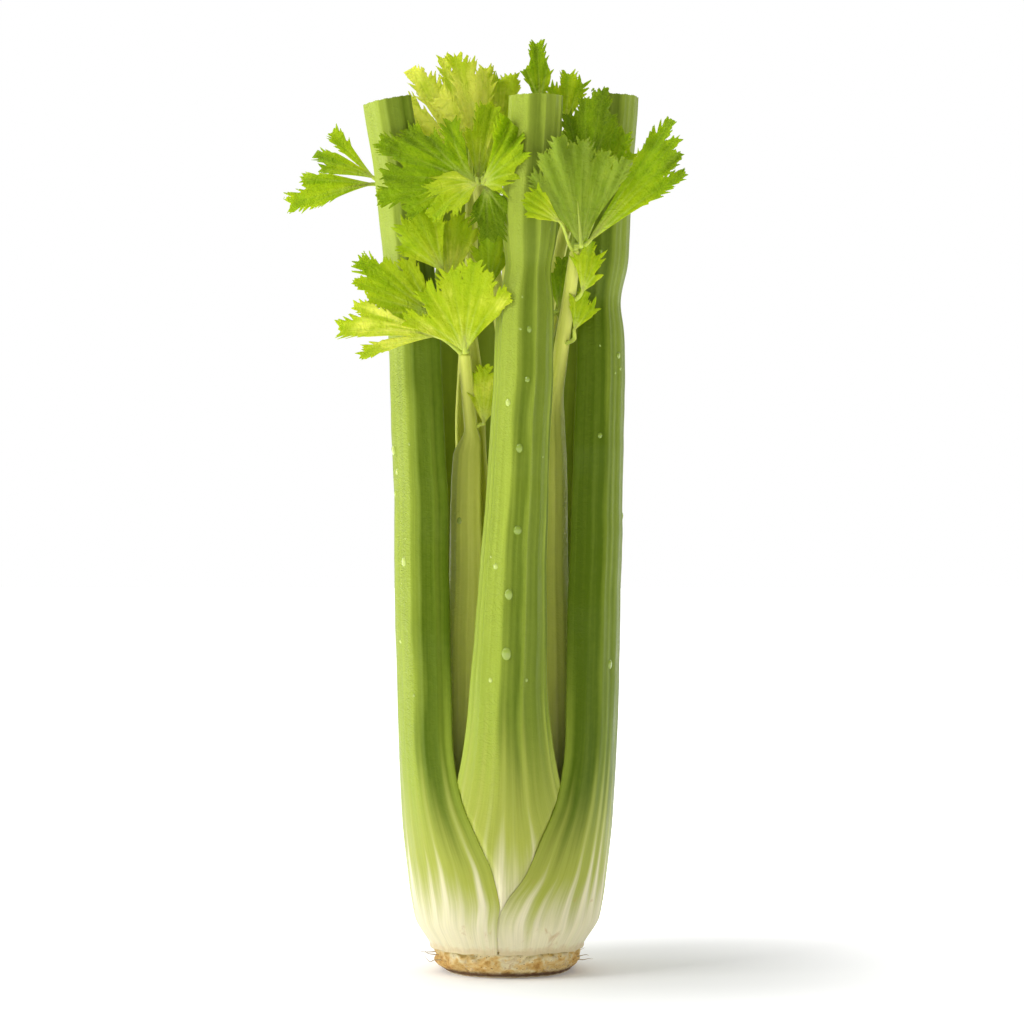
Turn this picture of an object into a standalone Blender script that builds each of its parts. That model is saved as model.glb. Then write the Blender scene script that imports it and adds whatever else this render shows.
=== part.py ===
"""A head of celery standing on its trimmed root crown.

One object per natural piece: the root crown, five outer stalks, five middle
stalks, three heart stalks and the leaflets that the inner stalks carry.
Metres, +Z up, the origin at the centre of the flat cut under the crown.
The front is -Y. All the tables below are in millimetres.
"""

import math

import bmesh
import bpy
import numpy as np
from mathutils import Vector

MM = 0.001
NAME = "celery_head"

# ---------------------------------------------------------------- dimensions
CROWN_R = 24.0        # radius of the flat cut that the head stands on
CROWN_TOP = 14.5      # height of the crown at its centre
TOP_CUT = 313.0       # height at which the outer stalks are cut off
LAYER_GAP = 1.1       # clearance between sheaths that wrap round each other
EDGE_CLEAR = 2.0      # how far past its neighbour's edge a stalk stays pressed in
EDGE_RISE = 1.3       # how steeply a stalk may swell beside its neighbour's edge
LEAF_THICK = 0.7      # thickness of a leaf blade

# Turned profile of the crown, outer side first: (radius, height)
CROWN_PROFILE = [
    (0.0, CROWN_TOP), (7.0, 13.6), (14.0, 11.6), (20.0, 10.0), (24.5, 9.4),
    (26.6, 8.6), (27.2, 6.4), (26.7, 3.6), (25.6, 1.3), (CROWN_R, 0.0), (0.0, 0.0),
]

# Heights of the sections that every stalk shares, low down where the sheaths nest.
LEVELS = [14.0, 20.0, 25.0, 30.0, 34.0, 38.0, 42.0, 46.0, 50.0, 55.0, 60.0, 66.0, 74.0, 86.0, 104.0, 130.0]


def polar(azimuth, rows):
    """Rows of (z, r, side, R, A, t, e, q) as rows of (z, cx, cy, R, A, t, e, q).

    r is how far the stalk's back stands from the head's axis, side a shift
    across it, R the radius of its back, A the half angle of its arc, t and e
    the thickness in the middle and at the edges, and q runs from 0, a crescent,
    to 1, a round stem. cx and cy are the centre of the arc.
    """
    c, s = math.cos(math.radians(azimuth)), math.sin(math.radians(azimuth))
    return [
        (z, (r - R) * c - side * s, (r - R) * s + side * c, R, A, t, e, q)
        for z, r, side, R, A, t, e, q in rows
    ]


def stem(rows):
    """Rows of (z, x, y, R) of a round stem, in the same form as polar()'s."""
    return [(z, x, y, R, 100, 1.0, 1.0, 1.0) for z, x, y, R in rows]


def outer_stalk(azimuth, first, lean, node=None, side=0.0, cut=TOP_CUT, size=1.0, waist=1.0):
    """A full-length stalk: a broad thin sheath low down, a thick crescent above.

    waist makes it slimmer where its sheath runs out.
    """
    rows = [
        (first, 28.2, 0.0, 27.5, 66, 4.2, 1.3, 0.0),
        (20.0, 34.0, 0.0, 32.0, 69, 4.8, 1.1, 0.0),
        (28.0, 35.6, 0.0, 32.5, 69, 5.4, 1.0, 0.0),
        (38.0, 37.0, 0.0, 31.5, 65, 6.2, 1.0, 0.0),
        (50.0, 38.6, 0.0, 29.5, 61, 6.9, 1.1, 0.0),
        (64.0, 40.0, 0.0, 25.5 * (0.65 + 0.35 * waist), 58, 7.6, 1.3, 0.0),
        (80.0, 41.2, 0.0, 21.5 * (0.4 + 0.6 * waist), 61, 8.2, 1.6, 0.0),
        (100.0, 42.2, 0.0, 18.5 * (0.1 + 0.9 * waist), 69, 8.6, 2.0, 0.0),
        (130.0, 43.2, 0.1 * side, 16.3 * waist, 77, 8.8, 2.4, 0.0),
        (180.0, 44.0, 0.35 * side, 15.3 * size, 80, 8.6, 2.6, 0.0),
        (230.0, 44.6 + 0.12 * lean, 0.6 * side, 14.6 * size, 80, 8.4, 2.6, 0.0),
        (275.0, 44.8 + 0.5 * lean, 0.8 * side, 14.0 * size, 80, 8.2, 2.6, 0.0),
        (cut, 45.0 + lean, side, 13.4 * size, 80, 8.2, 2.6, 0.0),
    ]
    return {"azimuth": azimuth, "rows": polar(azimuth, rows), "node": node}


def inner_stalk(azimuth, first, top, reach, stem_rows, size=1.0, width=66):
    """A shorter stalk that narrows to a round leaf stem above its joint."""
    rows = [
        (first, 21.5 * reach, 0.0, 20.0 * reach, 58, 3.4, 1.2, 0.0),
        (28.0, 26.5 * reach, 0.0, 22.0 * reach, 56, 4.0, 1.1, 0.0),
        (50.0, 27.5 * reach, 0.0, 19.0 * reach, 56, 4.8, 1.2, 0.0),
        (80.0, 26.5 * reach, 0.0, 14.0 * reach, 60, 5.6, 1.5, 0.0),
        (130.0, 25.0 * reach, 0.0, 10.5 * size, width, 6.0, 1.8, 0.0),
        (top - 26.0, 24.0 * reach, 0.0, 9.3 * size, width, 6.0, 1.9, 0.0),
        (top - 8.0, 23.4 * reach, 0.0, 8.2 * size, width, 5.8, 2.0, 0.15),
    ]
    return {"azimuth": azimuth, "rows": polar(azimuth, rows) + stem(stem_rows), "node": None}


# Outermost first: each one lies inside those before it where they overlap.
# node is (height, depth, half length) of the joint where a stalk is pinched.
STALKS = {
    "stalk_outer_left": outer_stalk(205, 10.4, 10.5),
    "stalk_outer_right": outer_stalk(338, 10.4, 5.0, node=(243, 0.16, 9), size=0.97, cut=315.5),
    "stalk_outer_back_left": outer_stalk(116, 10.4, 2.5, node=(262, 0.12, 9), cut=307),
    "stalk_outer_front": outer_stalk(
        271, 11.4, 1.0, node=(252, 0.20, 9), side=9.6, size=0.72, waist=0.79
    ),
    "stalk_outer_back_right": outer_stalk(
        55, 11.4, 2.0, node=(236, 0.14, 9), side=-3.0, cut=309, size=0.92
    ),
    "stalk_middle_left": inner_stalk(
        214, 13.2, 195, 0.96,
        [(196.5, -13.2, -14.0, 2.5), (212, -13.9, -19.5, 2.3), (222, -14.8, -25.5, 2.2)],
        size=0.95, width=70,
    ),
    "stalk_middle_right": inner_stalk(
        336, 13.2, 207, 0.96,
        [(212, 17.8, -14.5, 3.1), (232, 20.2, -24.5, 2.6), (258, 24.4, -36.5, 2.2)],
        size=0.92, width=70,
    ),
    "stalk_middle_back_left": inner_stalk(
        138, 13.2, 222, 0.95,
        [(228, -14.5, 11.0, 3.1), (252, -13.5, 7.0, 2.6), (284, -12.6, -6.0, 2.1)],
        size=0.9, width=64,
    ),
    "stalk_middle_front": inner_stalk(
        279, 13.2, 214, 0.92,
        [(220, 0.5, -19.0, 3.0), (250, -4.5, -24.0, 2.5), (283, -10.3, -30.2, 2.1)],
        size=0.86, width=60,
    ),
    "stalk_middle_back_right": inner_stalk(
        58, 13.2, 218, 0.95,
        [(224, 11.5, 14.0, 3.1), (252, 17.0, 8.0, 2.6), (286, 25.6, -2.5, 2.1)],
        size=0.9, width=64,
    ),
    "stalk_heart_left": inner_stalk(
        196, 17.0, 178, 0.52,
        [(184, -9.5, -3.0, 2.6), (214, -11.0, -9.0, 2.2), (244, -14.6, -19.0, 1.8)],
        size=0.55, width=64,
    ),
    "stalk_heart_right": inner_stalk(
        326, 17.0, 170, 0.50,
        [(176, 8.0, -5.0, 2.5), (204, 10.0, -10.0, 2.1), (236, 16.5, -20.0, 1.7)],
        size=0.55, width=62,
    ),
    "stalk_heart_back": inner_stalk(
        82, 17.0, 186, 0.50,
        [(192, 1.5, 8.5, 2.6), (224, 0.5, 14.0, 2.2), (262, 0.0, 20.0, 1.8)],
        size=0.55, width=62,
    ),
}

# Lobe patterns: (direction in degrees, length, half width), as shares of the leaf.
FAN4 = [(-38, 0.84, 0.20), (-13, 1.0, 0.21), (12, 0.96, 0.21), (36, 0.82, 0.20)]
FAN3 = [(-32, 0.84, 0.22), (0, 1.0, 0.24), (32, 0.84, 0.22)]

# Each leaflet: where its stem starts, where its blade starts, its tip, the way
# its upper side faces, its lobes, and how far it bends down along its length
# and across its width, in degrees.
LEAVES = {}


def leaf(name, start, base, tip, face, lobes, bend=25, cup=25, stem_r=1.0):
    LEAVES[name] = dict(
        start=start, base=base, tip=tip, face=face, lobes=lobes,
        bend=bend, cup=cup, stem_r=stem_r,
    )


# Carried by stalk_middle_left
leaf("leaf_left_fan", (-14.4, -27.2, 224.4), (-14.8, -37, 222.9), (-15.7, -44.5, 252.6), (0, -1, 0.15),
     [(-58.3, 0.844, 0.122), (-30.2, 0.88, 0.198), (-8.9, 0.97, 0.213), (8.1, 1.075, 0.183), (18.8, 0.984, 0.122), (37.4, 0.887, 0.138)], -14, -36, 1.1)
leaf("leaf_left_long", (-17.2, -26.8, 224.0), (-24.6, -38.5, 228.5), (-59.8, -38, 232.7), (0.1, -0.9, 0.45),
     [(-25.8, 0.813, 0.092), (-0.8, 1.018, 0.159), (15.0, 0.913, 0.066)], 18, 16, 1.0)
leaf("leaf_left_upper", (-16.2, -23.4, 224.2), (-25.1, -31.2, 235.9), (-52.4, -30.6, 255.1), (0, -1, 0.2),
     [(-33.3, 0.51, 0.112), (-21.8, 0.763, 0.112), (-12.9, 0.975, 0.07), (0.3, 1.03, 0.168), (10.1, 0.83, 0.099), (27.0, 0.682, 0.126)], 10, -10, 0.9)
leaf("leaf_left_curled", (-9.0, -16.5, 198), (-7.4, -21.0, 199), (-7.2, -25.2, 218.0), (0.2, -1, 0.2),
     [(-12.0, 0.8, 0.13), (0.0, 1.03, 0.13), (12.5, 0.8, 0.12)], -30, 30, 0.7)
# Carried by stalk_heart_left
leaf("leaf_heart_left_a", (-16.2, -19.8, 246), (-22.3, -32.5, 251.4), (-33.5, -35, 271.7), (-0.2, -1, 0.2),
     [(-28.1, 0.776, 0.14), (-12.3, 0.963, 0.14), (4.6, 1.027, 0.16), (20.3, 1.008, 0.16)], 16, 10, 0.7)
leaf("leaf_heart_left_b", (-14.4, -21.0, 246.2), (-17.2, -27, 252), (-17.6, -29.5, 270.4), (0.1, -1, 0.1),
     [(-22.0, 0.72, 0.16), (0.0, 1.0, 0.2), (22.0, 0.72, 0.16)], -20, 30, 0.7)
leaf("leaf_heart_left_c", (-12.8, -19.4, 246), (-6.7, -29.5, 245.3), (-4.9, -33, 264.8), (0.3, -1, 0.1),
     [(-16.8, 0.734, 0.164), (-6.3, 1.017, 0.14), (4.9, 1.045, 0.14), (18.5, 0.731, 0.14)], 12, 20, 0.7)
# Carried by stalk_middle_front
leaf("leaf_front_left_wide", (-12.6, -31.2, 285.2), (-14.2, -33, 284.8), (-44.7, -35.2, 287.8), (0.1, -1, 0.2),
     [(-31.4, 0.809, 0.122), (-19.2, 1.05, 0.15), (-4.8, 0.981, 0.137), (15.2, 1.112, 0.164), (29.7, 0.941, 0.164), (37.1, 0.703, 0.122), (60.4, 0.729, 0.137)], 14, 12, 0.8)
leaf("leaf_front_upright", (-10.2, -28.6, 285.3), (-9.6, -27.4, 289), (-8.1, -25.5, 310.9), (0.4, -1, 0),
     [(-24.0, 0.76, 0.2), (0.0, 1.0, 0.24), (24.0, 0.76, 0.2)], -14, -24, 0.8)
leaf("leaf_front_right", (-8.5, -30.8, 285), (-8.7, -40, 281.8), (4.6, -45.5, 297.4), (0.1, -1, 0.3),
     [(-18.6, 1.278, 0.133), (-4.0, 1.149, 0.155), (13.0, 0.894, 0.155), (30.9, 0.58, 0.133), (57.2, 0.348, 0.133)], 10, 10, 0.7)
leaf("leaf_front_droop", (-10.4, -33.4, 283.2), (-11.4, -40, 280.6), (-27.6, -46, 272.8), (0, -0.8, 0.7),
     [(-24.0, 0.779, 0.229), (-11.3, 1.088, 0.251), (22.2, 0.869, 0.274), (50.3, 0.729, 0.229)], 40, 30, 0.8)
leaf("leaf_front_low", (-7.0, -31.0, 281.2), (-6.8, -36.5, 279.0), (-7.2, -42, 262.7), (0.1, -1, -0.1),
     [(-24.0, 0.7, 0.2), (-7.0, 0.98, 0.2), (8.0, 0.94, 0.18)], 16, 12, 0.7)
# Carried by stalk_middle_back_left
leaf("leaf_back_left_a", (-14.3, -6.8, 285.4), (-16.2, -12, 294), (-32, -12, 322.8), (-0.2, -1, 0.1),
     [(-33.6, 0.672, 0.129), (-17.7, 0.895, 0.114), (-0.4, 1.167, 0.086), (5.7, 0.975, 0.1)], 14, 16, 0.8)
leaf("leaf_back_left_b", (-13, -4.2, 285.6), (-13.4, -5, 297.6), (-23.3, -2, 332.1), (0, -1, 0.1),
     [(-14.8, 0.832, 0.104), (-0.2, 1.023, 0.065), (2.7, 0.798, 0.104)], 16, 20, 0.8)
leaf("leaf_back_left_c", (-11.8, -7.9, 285.4), (-9.7, -17, 292.7), (-14.6, -21, 328), (0.1, -1, 0.1),
     [(-25.6, 0.76, 0.117), (-6.0, 1.112, 0.091), (1.7, 0.996, 0.104), (11.9, 0.895, 0.091)], -16, 24, 0.8)
leaf("leaf_back_left_d", (-10.7, -5.2, 285.5), (-5.4, -7, 290.2), (-3.2, -10, 326.6), (0.2, -1, 0.1),
     [(-7.4, 1.019, 0.09), (2.1, 0.925, 0.114), (9.9, 0.997, 0.077), (18.2, 0.76, 0.114)], 16, 20, 0.8)
leaf("leaf_side_upper", (-17.2, 3.2, 264), (-48.6, 5, 288.5), (-66.4, 4, 299.3), (0, -1, 0.6),
     [(-26.7, 0.967, 0.134), (-9.3, 1.176, 0.202), (19.2, 1.148, 0.134)], 10, 12, 0.9)
leaf("leaf_side_lower", (-17.2, 7, 258), (-48.8, 9.5, 286.7), (-80.3, 9, 279.4), (0, -1, 0.45),
     [(-5.8, 0.763, 0.087), (-1.1, 1.027, 0.13), (14.9, 0.824, 0.101)], 34, 12, 0.9)
# Carried by stalk_middle_right
leaf("leaf_right_fan", (24.4, -39.2, 260.2), (26, -44, 259.7), (23.1, -49, 296.3), (0, 1, 0.2),
     [(-32.5, 0.938, 0.114), (-19.1, 0.924, 0.126), (-5.4, 1.016, 0.139), (7.7, 1.087, 0.126), (18.5, 0.971, 0.101), (30.2, 0.848, 0.114)], 12, 14, 1.0)
leaf("leaf_right_blade", (27, -37.8, 260.2), (28.2, -40.5, 261), (59.4, -40.5, 296.5), (0.15, -0.95, 0.35),
     [(-7.4, 1.169, 0.079), (-0.6, 1.069, 0.06), (4.0, 1.002, 0.06), (12.6, 0.928, 0.06)], 10, -8, 0.9)
leaf("leaf_right_small", (22.2, -39.2, 259.6), (17.0, -48.5, 264.6), (6.7, -51, 275.8), (0, -1, 0.3),
     [(-17.4, 0.848, 0.192), (0.3, 1.033, 0.192), (18.4, 1.023, 0.192)], 20, 24, 0.6)
leaf("leaf_right_dark", (23.6, -34.0, 260.2), (27.3, -33.4, 280.3), (31.5, -34.5, 314.1), (0.1, -1, 0.1),
     [(-20.3, 0.826, 0.096), (-7.2, 0.971, 0.096), (3.8, 1.095, 0.111), (13.3, 0.862, 0.096)], 12, 14, 0.8)
leaf("leaf_right_top", (26.2, -34.0, 260), (33, -29.5, 277.2), (39.4, -29, 304.9), (0.1, -1, 0.1),
     [(-13.0, 0.897, 0.099), (-3.1, 1.014, 0.116), (7.9, 0.911, 0.116), (20.7, 0.723, 0.099)], 8, 10, 0.8)
leaf("leaf_right_low_a", (25.4, -33.4, 242.5), (28.6, -35.2, 244.4), (32.2, -36.2, 257.6), (0.2, -1, 0.1),
     [(-20.1, 0.817, 0.113), (-3.9, 1.16, 0.142), (12.1, 0.885, 0.142), (25.6, 0.456, 0.142)], 16, 24, 0.7)
leaf("leaf_right_low_b", (24, -28.8, 228.5), (23.8, -30.5, 231), (28.7, -31.5, 243), (0.2, -1, 0.1),
     [(-22.6, 0.818, 0.144), (-6.5, 1.188, 0.179), (19.0, 0.868, 0.179)], 16, 24, 0.7)
# Carried by stalk_middle_back_right
leaf("leaf_top_point", (24, -2.6, 287.8), (12, -2, 314.6), (10.9, -2, 335.7), (0, -1, 0.1),
     [(-20.6, 0.732, 0.111), (0.1, 1.017, 0.222), (13.1, 0.682, 0.111)], 8, 16, 1.0)
leaf("leaf_top_middle", (26, -0.4, 287.8), (21.5, 3, 308), (22.2, 4, 326), (0.1, -1, 0),
     [(-26.6, 0.842, 0.156), (-0.1, 1.041, 0.208), (19.3, 0.884, 0.182)], 10, 20, 1.0)
# Carried by stalk_heart_right and stalk_heart_back
leaf("leaf_heart_right", (16.8, -20.9, 237.8), (18.6, -22.5, 238.6), (19.6, -25, 255.5), (0, -1, 0.1),
     [(-14.0, 0.804, 0.164), (-0.1, 1.041, 0.191), (14.8, 0.789, 0.164)], 16, 24, 0.7)
leaf("leaf_back_a", (-1.4, 19.2, 263.8), (-7, 18, 285), (-14, 17, 322), (0, 1, 0.1), FAN4, 10, 10)
leaf("leaf_back_b", (1.2, 21.0, 263.8), (5, 25, 283), (9, 26, 316), (0.1, 1, 0.1), FAN3, 10, 10)


def hermite(z, rows):
    """The rows' values at heights z, along smooth curves that don't overshoot."""
    rows = np.array(rows, float)
    x, y = rows[:, 0], rows[:, 1:]
    h = np.diff(x)[:, None]
    d = np.diff(y, axis=0) / h
    m = np.zeros_like(y)
    same = d[:-1] * d[1:] > 0
    w1, w2 = 2 * h[1:] + h[:-1], h[1:] + 2 * h[:-1]
    with np.errstate(divide="ignore", invalid="ignore"):
        mean = (w1 + w2) / (w1 / d[:-1] + w2 / d[1:])
    m[1:-1] = np.where(same, mean, 0.0)
    m[0], m[-1] = d[0], d[-1]
    z = np.clip(np.asarray(z, float), x[0], x[-1])
    i = np.clip(np.searchsorted(x, z, side="right") - 1, 0, len(x) - 2)
    u = ((z - x[i]) / h[i, 0])[:, None]
    return (
        y[i] * (1 + 2 * u) * (1 - u) ** 2
        + m[i] * h[i] * u * (1 - u) ** 2
        + y[i + 1] * u * u * (3 - 2 * u)
        + m[i + 1] * h[i] * u * u * (u - 1)
    )


def section(stalk, z, count_out, count_in):
    """(outer curve, inner curve) of a stalk at height z, as points in the plane."""
    cx, cy, R, A, t, e, q = hermite([z], stalk["rows"])[0]
    if stalk["node"]:
        at, depth, half = stalk["node"]
        R *= 1 - depth * math.exp(-(((z - at) / half) ** 2))
    A = math.radians(A)
    az = math.radians(stalk["azimuth"])

    def placed(radius, angle):
        return np.stack([cx + radius * np.cos(az + angle), cy + radius * np.sin(az + angle)], 1)

    out_angle = np.linspace(-A, A, count_out)
    in_angle = np.linspace(-A, A, count_in) * 0.985
    thick = e + (t - e) * np.cos(in_angle / A * math.pi / 2) ** 1.2
    crescent = placed(R - thick, in_angle)
    share = in_angle / A
    back = math.pi - np.abs(share) * (math.pi - A * 1.08)
    whole = placed(np.full(count_in, R), np.where(share < 0, -back, back))
    return placed(np.full(count_out, R), out_angle), crescent + q * (whole - crescent)


def room_inside(theta, curve, gap):
    """How far out a surface may reach, along directions theta, inside this curve."""
    angle = np.arctan2(curve[:, 1], curve[:, 0])
    middle = math.atan2(curve[len(curve) // 2, 1], curve[len(curve) // 2, 0])
    angle = (angle - middle + math.pi) % (2 * math.pi) - math.pi
    radius = np.hypot(curve[:, 0], curve[:, 1])
    order = np.argsort(angle)
    angle, radius = angle[order], radius[order]
    t = (theta - middle + math.pi) % (2 * math.pi) - math.pi
    inside = np.interp(t, angle, radius) - gap
    past = np.maximum(0, np.maximum(angle[0] - t, t - angle[-1]))
    return inside + EDGE_RISE * np.maximum(0, past * radius.mean() - EDGE_CLEAR)


def nested_sections(z, count_out, count_in, gap):
    """{name: (outer, inner)} at height z, each stalk pressed inside those before it."""
    made = {}
    for name, stalk in STALKS.items():
        if not stalk["rows"][0][0] - 0.01 <= z <= stalk["rows"][-1][0] + 0.01:
            continue
        outer, inner = section(stalk, z, count_out, count_in)
        if z < 132:
            for _, fixed in made.values():
                for curve, extra in ((outer, 0.0), (inner, 1.0)):
                    theta = np.arctan2(curve[:, 1], curve[:, 0])
                    radius = np.hypot(curve[:, 0], curve[:, 1])
                    most = np.maximum(room_inside(theta, fixed, gap + extra), 1.0)
                    curve *= (np.minimum(radius, most) / radius)[:, None]
        made[name] = (outer, inner)
    return made


def new_object(name, mesh, colour, roughness):
    obj = bpy.data.objects.new(name, mesh)
    PARTS.objects.link(obj)
    material = bpy.data.materials.new(name)
    material.use_nodes = True
    shader = material.node_tree.nodes["Principled BSDF"]
    shader.inputs["Base Color"].default_value = (*colour, 1.0)
    shader.inputs["Roughness"].default_value = roughness
    shader.inputs["Metallic"].default_value = 0.0
    mesh.materials.append(material)
    obj.parent = ROOT
    return obj


def loft(name, rings, colour, roughness):
    """One closed solid through rings of the same number of points, with both ends closed."""
    bm = bmesh.new()
    loops = []
    for ring in rings:
        verts = [bm.verts.new(Vector(p) * MM) for p in ring]
        loops.append([bm.edges.new((a, b)) for a, b in zip(verts, verts[1:] + verts[:1])])
    n = len(rings[0])
    bm.verts.ensure_lookup_table()
    for k in range(len(rings) - 1):
        for i in range(n):
            a, b = k * n + i, k * n + (i + 1) % n
            bm.faces.new([bm.verts[v] for v in (a, b, b + n, a + n)])
    half = n // 2
    for k in (0, len(rings) - 1):
        for i in range(half - 1):
            corners = [k * n + v for v in (i, i + 1, n - 2 - i, n - 1 - i)]
            bm.faces.new([bm.verts[v] for v in corners])
    bmesh.ops.recalc_face_normals(bm, faces=bm.faces)
    bmesh.ops.triangulate(bm, faces=bm.faces)
    if bm.calc_volume(signed=True) < 0:
        bmesh.ops.reverse_faces(bm, faces=bm.faces)
    mesh = bpy.data.meshes.new(name)
    bm.to_mesh(mesh)
    bm.free()
    mesh.shade_smooth()
    mesh.set_sharp_from_angle(angle=math.radians(50))
    return new_object(name, mesh, colour, roughness)


def build_crown():
    mesh = bpy.data.meshes.new("root_crown")
    points = [(r * MM, 0.0, z * MM) for r, z in CROWN_PROFILE]
    mesh.from_pydata(points, [(i, i + 1) for i in range(len(points) - 1)], [])
    crown = new_object("root_crown", mesh, (0.72, 0.58, 0.36), 0.8)
    screw = crown.modifiers.new("turned", "SCREW")
    screw.axis = "Z"
    screw.steps = screw.render_steps = 28
    screw.use_merge_vertices = True
    screw.merge_threshold = 0.0001
    screw.use_smooth_shade = True
    return crown


def build_stalks():
    rings = {name: [] for name in STALKS}
    for name, stalk in STALKS.items():
        rows = stalk["rows"]
        first, last = rows[0][0], rows[-1][0]
        own = {round(r[0], 3) for r in rows if r[0] > LEVELS[-1]} | {first}
        if stalk["node"]:
            at, _, half = stalk["node"]
            own |= {at - half, at, at + half}
        stalk["levels"] = sorted(own | {z for z in LEVELS if first + 1.5 < z < last})
    for z in sorted({z for s in STALKS.values() for z in s["levels"]}):
        made = nested_sections(z, 9, 9, LAYER_GAP)
        for name, (outer, inner) in made.items():
            if z in STALKS[name]["levels"]:
                ring = np.concatenate([outer, inner[::-1]])
                rings[name].append(np.column_stack([ring, np.full(len(ring), z)]))
    for name, sections in rings.items():
        inside = "outer" not in name
        colour = (0.52, 0.62, 0.16) if inside else (0.25, 0.45, 0.05)
        loft(name, sections, colour, 0.4)


def blade_reach(lobes, angle):
    """How far the blade's edge is from its base along each direction, as a share of its length."""
    reach = np.zeros_like(angle)
    for direction, length, width in lobes:
        off = angle - math.radians(direction)
        for share in np.linspace(0.02, 1.0, 80):
            # The lobe's half width, widest two thirds of the way along it.
            half = width * math.sin(math.pi * min(share, 1.0) ** 1.35) ** 0.75 + 0.012
            edge = math.atan2(half, share * length)
            inside = np.abs(off) <= edge
            here = np.hypot(share * length, half * np.abs(off) / max(edge, 1e-6))
            reach = np.where(inside, np.maximum(reach, here), reach)
    return np.maximum(reach, 0.34)


def blade_frame(spec):
    base, tip, face = (Vector(spec[k]) for k in ("base", "tip", "face"))
    forward = (tip - base).normalized()
    side = forward.cross(face).normalized()
    up = side.cross(forward).normalized()
    return base, forward, side, up, (tip - base).length


def blade_point(spec, frame, r, angle):
    """A point of the blade's middle surface, r of its length from its base."""
    base, forward, side, up, size = frame
    x, y = r * size * math.sin(angle), r * size * math.cos(angle)
    kf, ks = math.radians(spec["bend"]) / size, math.radians(spec["cup"]) / size
    h = 0.02 * size * r * math.cos(5 * angle)
    # Tilted back at the base, so that the bent blade still ends at the tip.
    start = 0.5 * kf * size
    turn = start - kf * y
    if abs(kf) > 1e-9:
        along = (math.sin(start) - math.sin(turn)) / kf
        rise = (math.cos(turn) - math.cos(start)) / kf
    else:
        along, rise = y, 0.0
    across = math.sin(ks * x) / ks if abs(ks) > 1e-9 else x
    drop = (1 - math.cos(ks * x)) / ks if abs(ks) > 1e-9 else 0.0
    h -= drop
    return (
        base
        + forward * (along - h * math.sin(turn))
        + side * across
        + up * (rise + h * math.cos(turn))
    )


def leaf_rings(spec, sides, shares, thick):
    """Rings of a leaflet, from its round stem out over its blade to the edge."""
    frame = blade_frame(spec)
    base, forward, side, up, size = frame
    tips = sorted(math.radians(lobe[0]) for lobe in spec["lobes"])
    edge = tips[-1] + math.radians(24)
    angles = np.interp(
        np.linspace(0, 1, sides),
        np.linspace(0, 1, 2 * len(tips) + 1),
        np.array([-edge] + [v for a, b in zip(tips, tips[1:]) for v in (a, (a + b) / 2)] + [tips[-1], edge]),
    )
    reach = blade_reach(spec["lobes"], angles)
    start = Vector(spec["start"])
    rings = []
    way = base - start
    steps = 3 if way.length > 8 else 2
    first = blade_point(spec, frame, 0.06, 0.0) - base
    for k in range(steps):
        u = k / steps
        centre = start + way * u
        ahead = (way.normalized() * (1 - u) + first.normalized() * u).normalized()
        right = (side - ahead * side.dot(ahead)).normalized()
        over = right.cross(ahead).normalized()
        turn = np.linspace(0, math.pi, sides)
        top = [centre - right * (math.cos(a) * spec["stem_r"]) + over * (math.sin(a) * spec["stem_r"]) for a in turn]
        low = [centre + right * (math.cos(a) * spec["stem_r"]) - over * (math.sin(a) * spec["stem_r"]) for a in turn]
        # The two ends of the sides would meet, so the underside starts a step in.
        pull = 0.12
        low[0], low[-1] = low[0].lerp(low[1], pull), low[-1].lerp(low[-2], pull)
        rings.append(top + low)
    for share in shares:
        top, low = [], []
        for a, far in zip(angles, reach):
            r = far * share
            p = blade_point(spec, frame, r, a)
            along = blade_point(spec, frame, r + 0.01, a) - blade_point(spec, frame, r - 0.01, a)
            round_ = blade_point(spec, frame, r, a + 0.02) - blade_point(spec, frame, r, a - 0.02)
            normal = round_.cross(along).normalized()
            if normal.dot(up) < 0:
                normal = -normal
            grow = thick / 2 * (1 + 1.2 * max(0.0, 1 - share / 0.3))
            top.append(p + normal * grow)
            low.append(p - normal * grow)
        rings.append(top + low[::-1])
    return rings


def build_leaves():
    for name, spec in LEAVES.items():
        rings = leaf_rings(spec, 2 * len(spec["lobes"]) + 1, (0.10, 0.34, 0.66, 1.0), LEAF_THICK)
        loft(name, rings, (0.42, 0.66, 0.05), 0.5)


for old in list(bpy.data.objects):
    bpy.data.objects.remove(old)
PARTS = bpy.data.collections.new(NAME)
bpy.context.scene.collection.children.link(PARTS)
ROOT = bpy.data.objects.new(NAME + "_frame", None)
PARTS.objects.link(ROOT)

build_crown()
build_stalks()
build_leaves()
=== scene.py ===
"""Looks for the head of celery: ribbed stalks, veined and toothed leaves, corky crown and water drops."""

import math

import bpy
import numpy as np
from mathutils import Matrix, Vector


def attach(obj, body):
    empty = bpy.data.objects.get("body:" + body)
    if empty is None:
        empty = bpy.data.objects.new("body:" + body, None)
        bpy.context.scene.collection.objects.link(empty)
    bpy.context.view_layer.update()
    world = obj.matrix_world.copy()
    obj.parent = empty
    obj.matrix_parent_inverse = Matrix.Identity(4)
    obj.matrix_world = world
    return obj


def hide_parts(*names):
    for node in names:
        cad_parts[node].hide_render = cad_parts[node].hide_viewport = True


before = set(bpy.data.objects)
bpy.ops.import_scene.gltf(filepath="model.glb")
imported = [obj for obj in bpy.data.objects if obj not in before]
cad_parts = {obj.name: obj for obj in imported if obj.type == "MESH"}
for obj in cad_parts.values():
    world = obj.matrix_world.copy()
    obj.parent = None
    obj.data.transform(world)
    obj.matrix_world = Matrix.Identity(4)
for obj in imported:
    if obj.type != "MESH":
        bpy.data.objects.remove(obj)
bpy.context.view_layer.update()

MM = 0.001
TOP_CUT = 313.0
SHEATH_GAP = 0.08
EDGE_CLEAR = 0.5
EDGE_RISE = 1.6

# ------------------------------------------------------------ the stalks, as in the CAD


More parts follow.
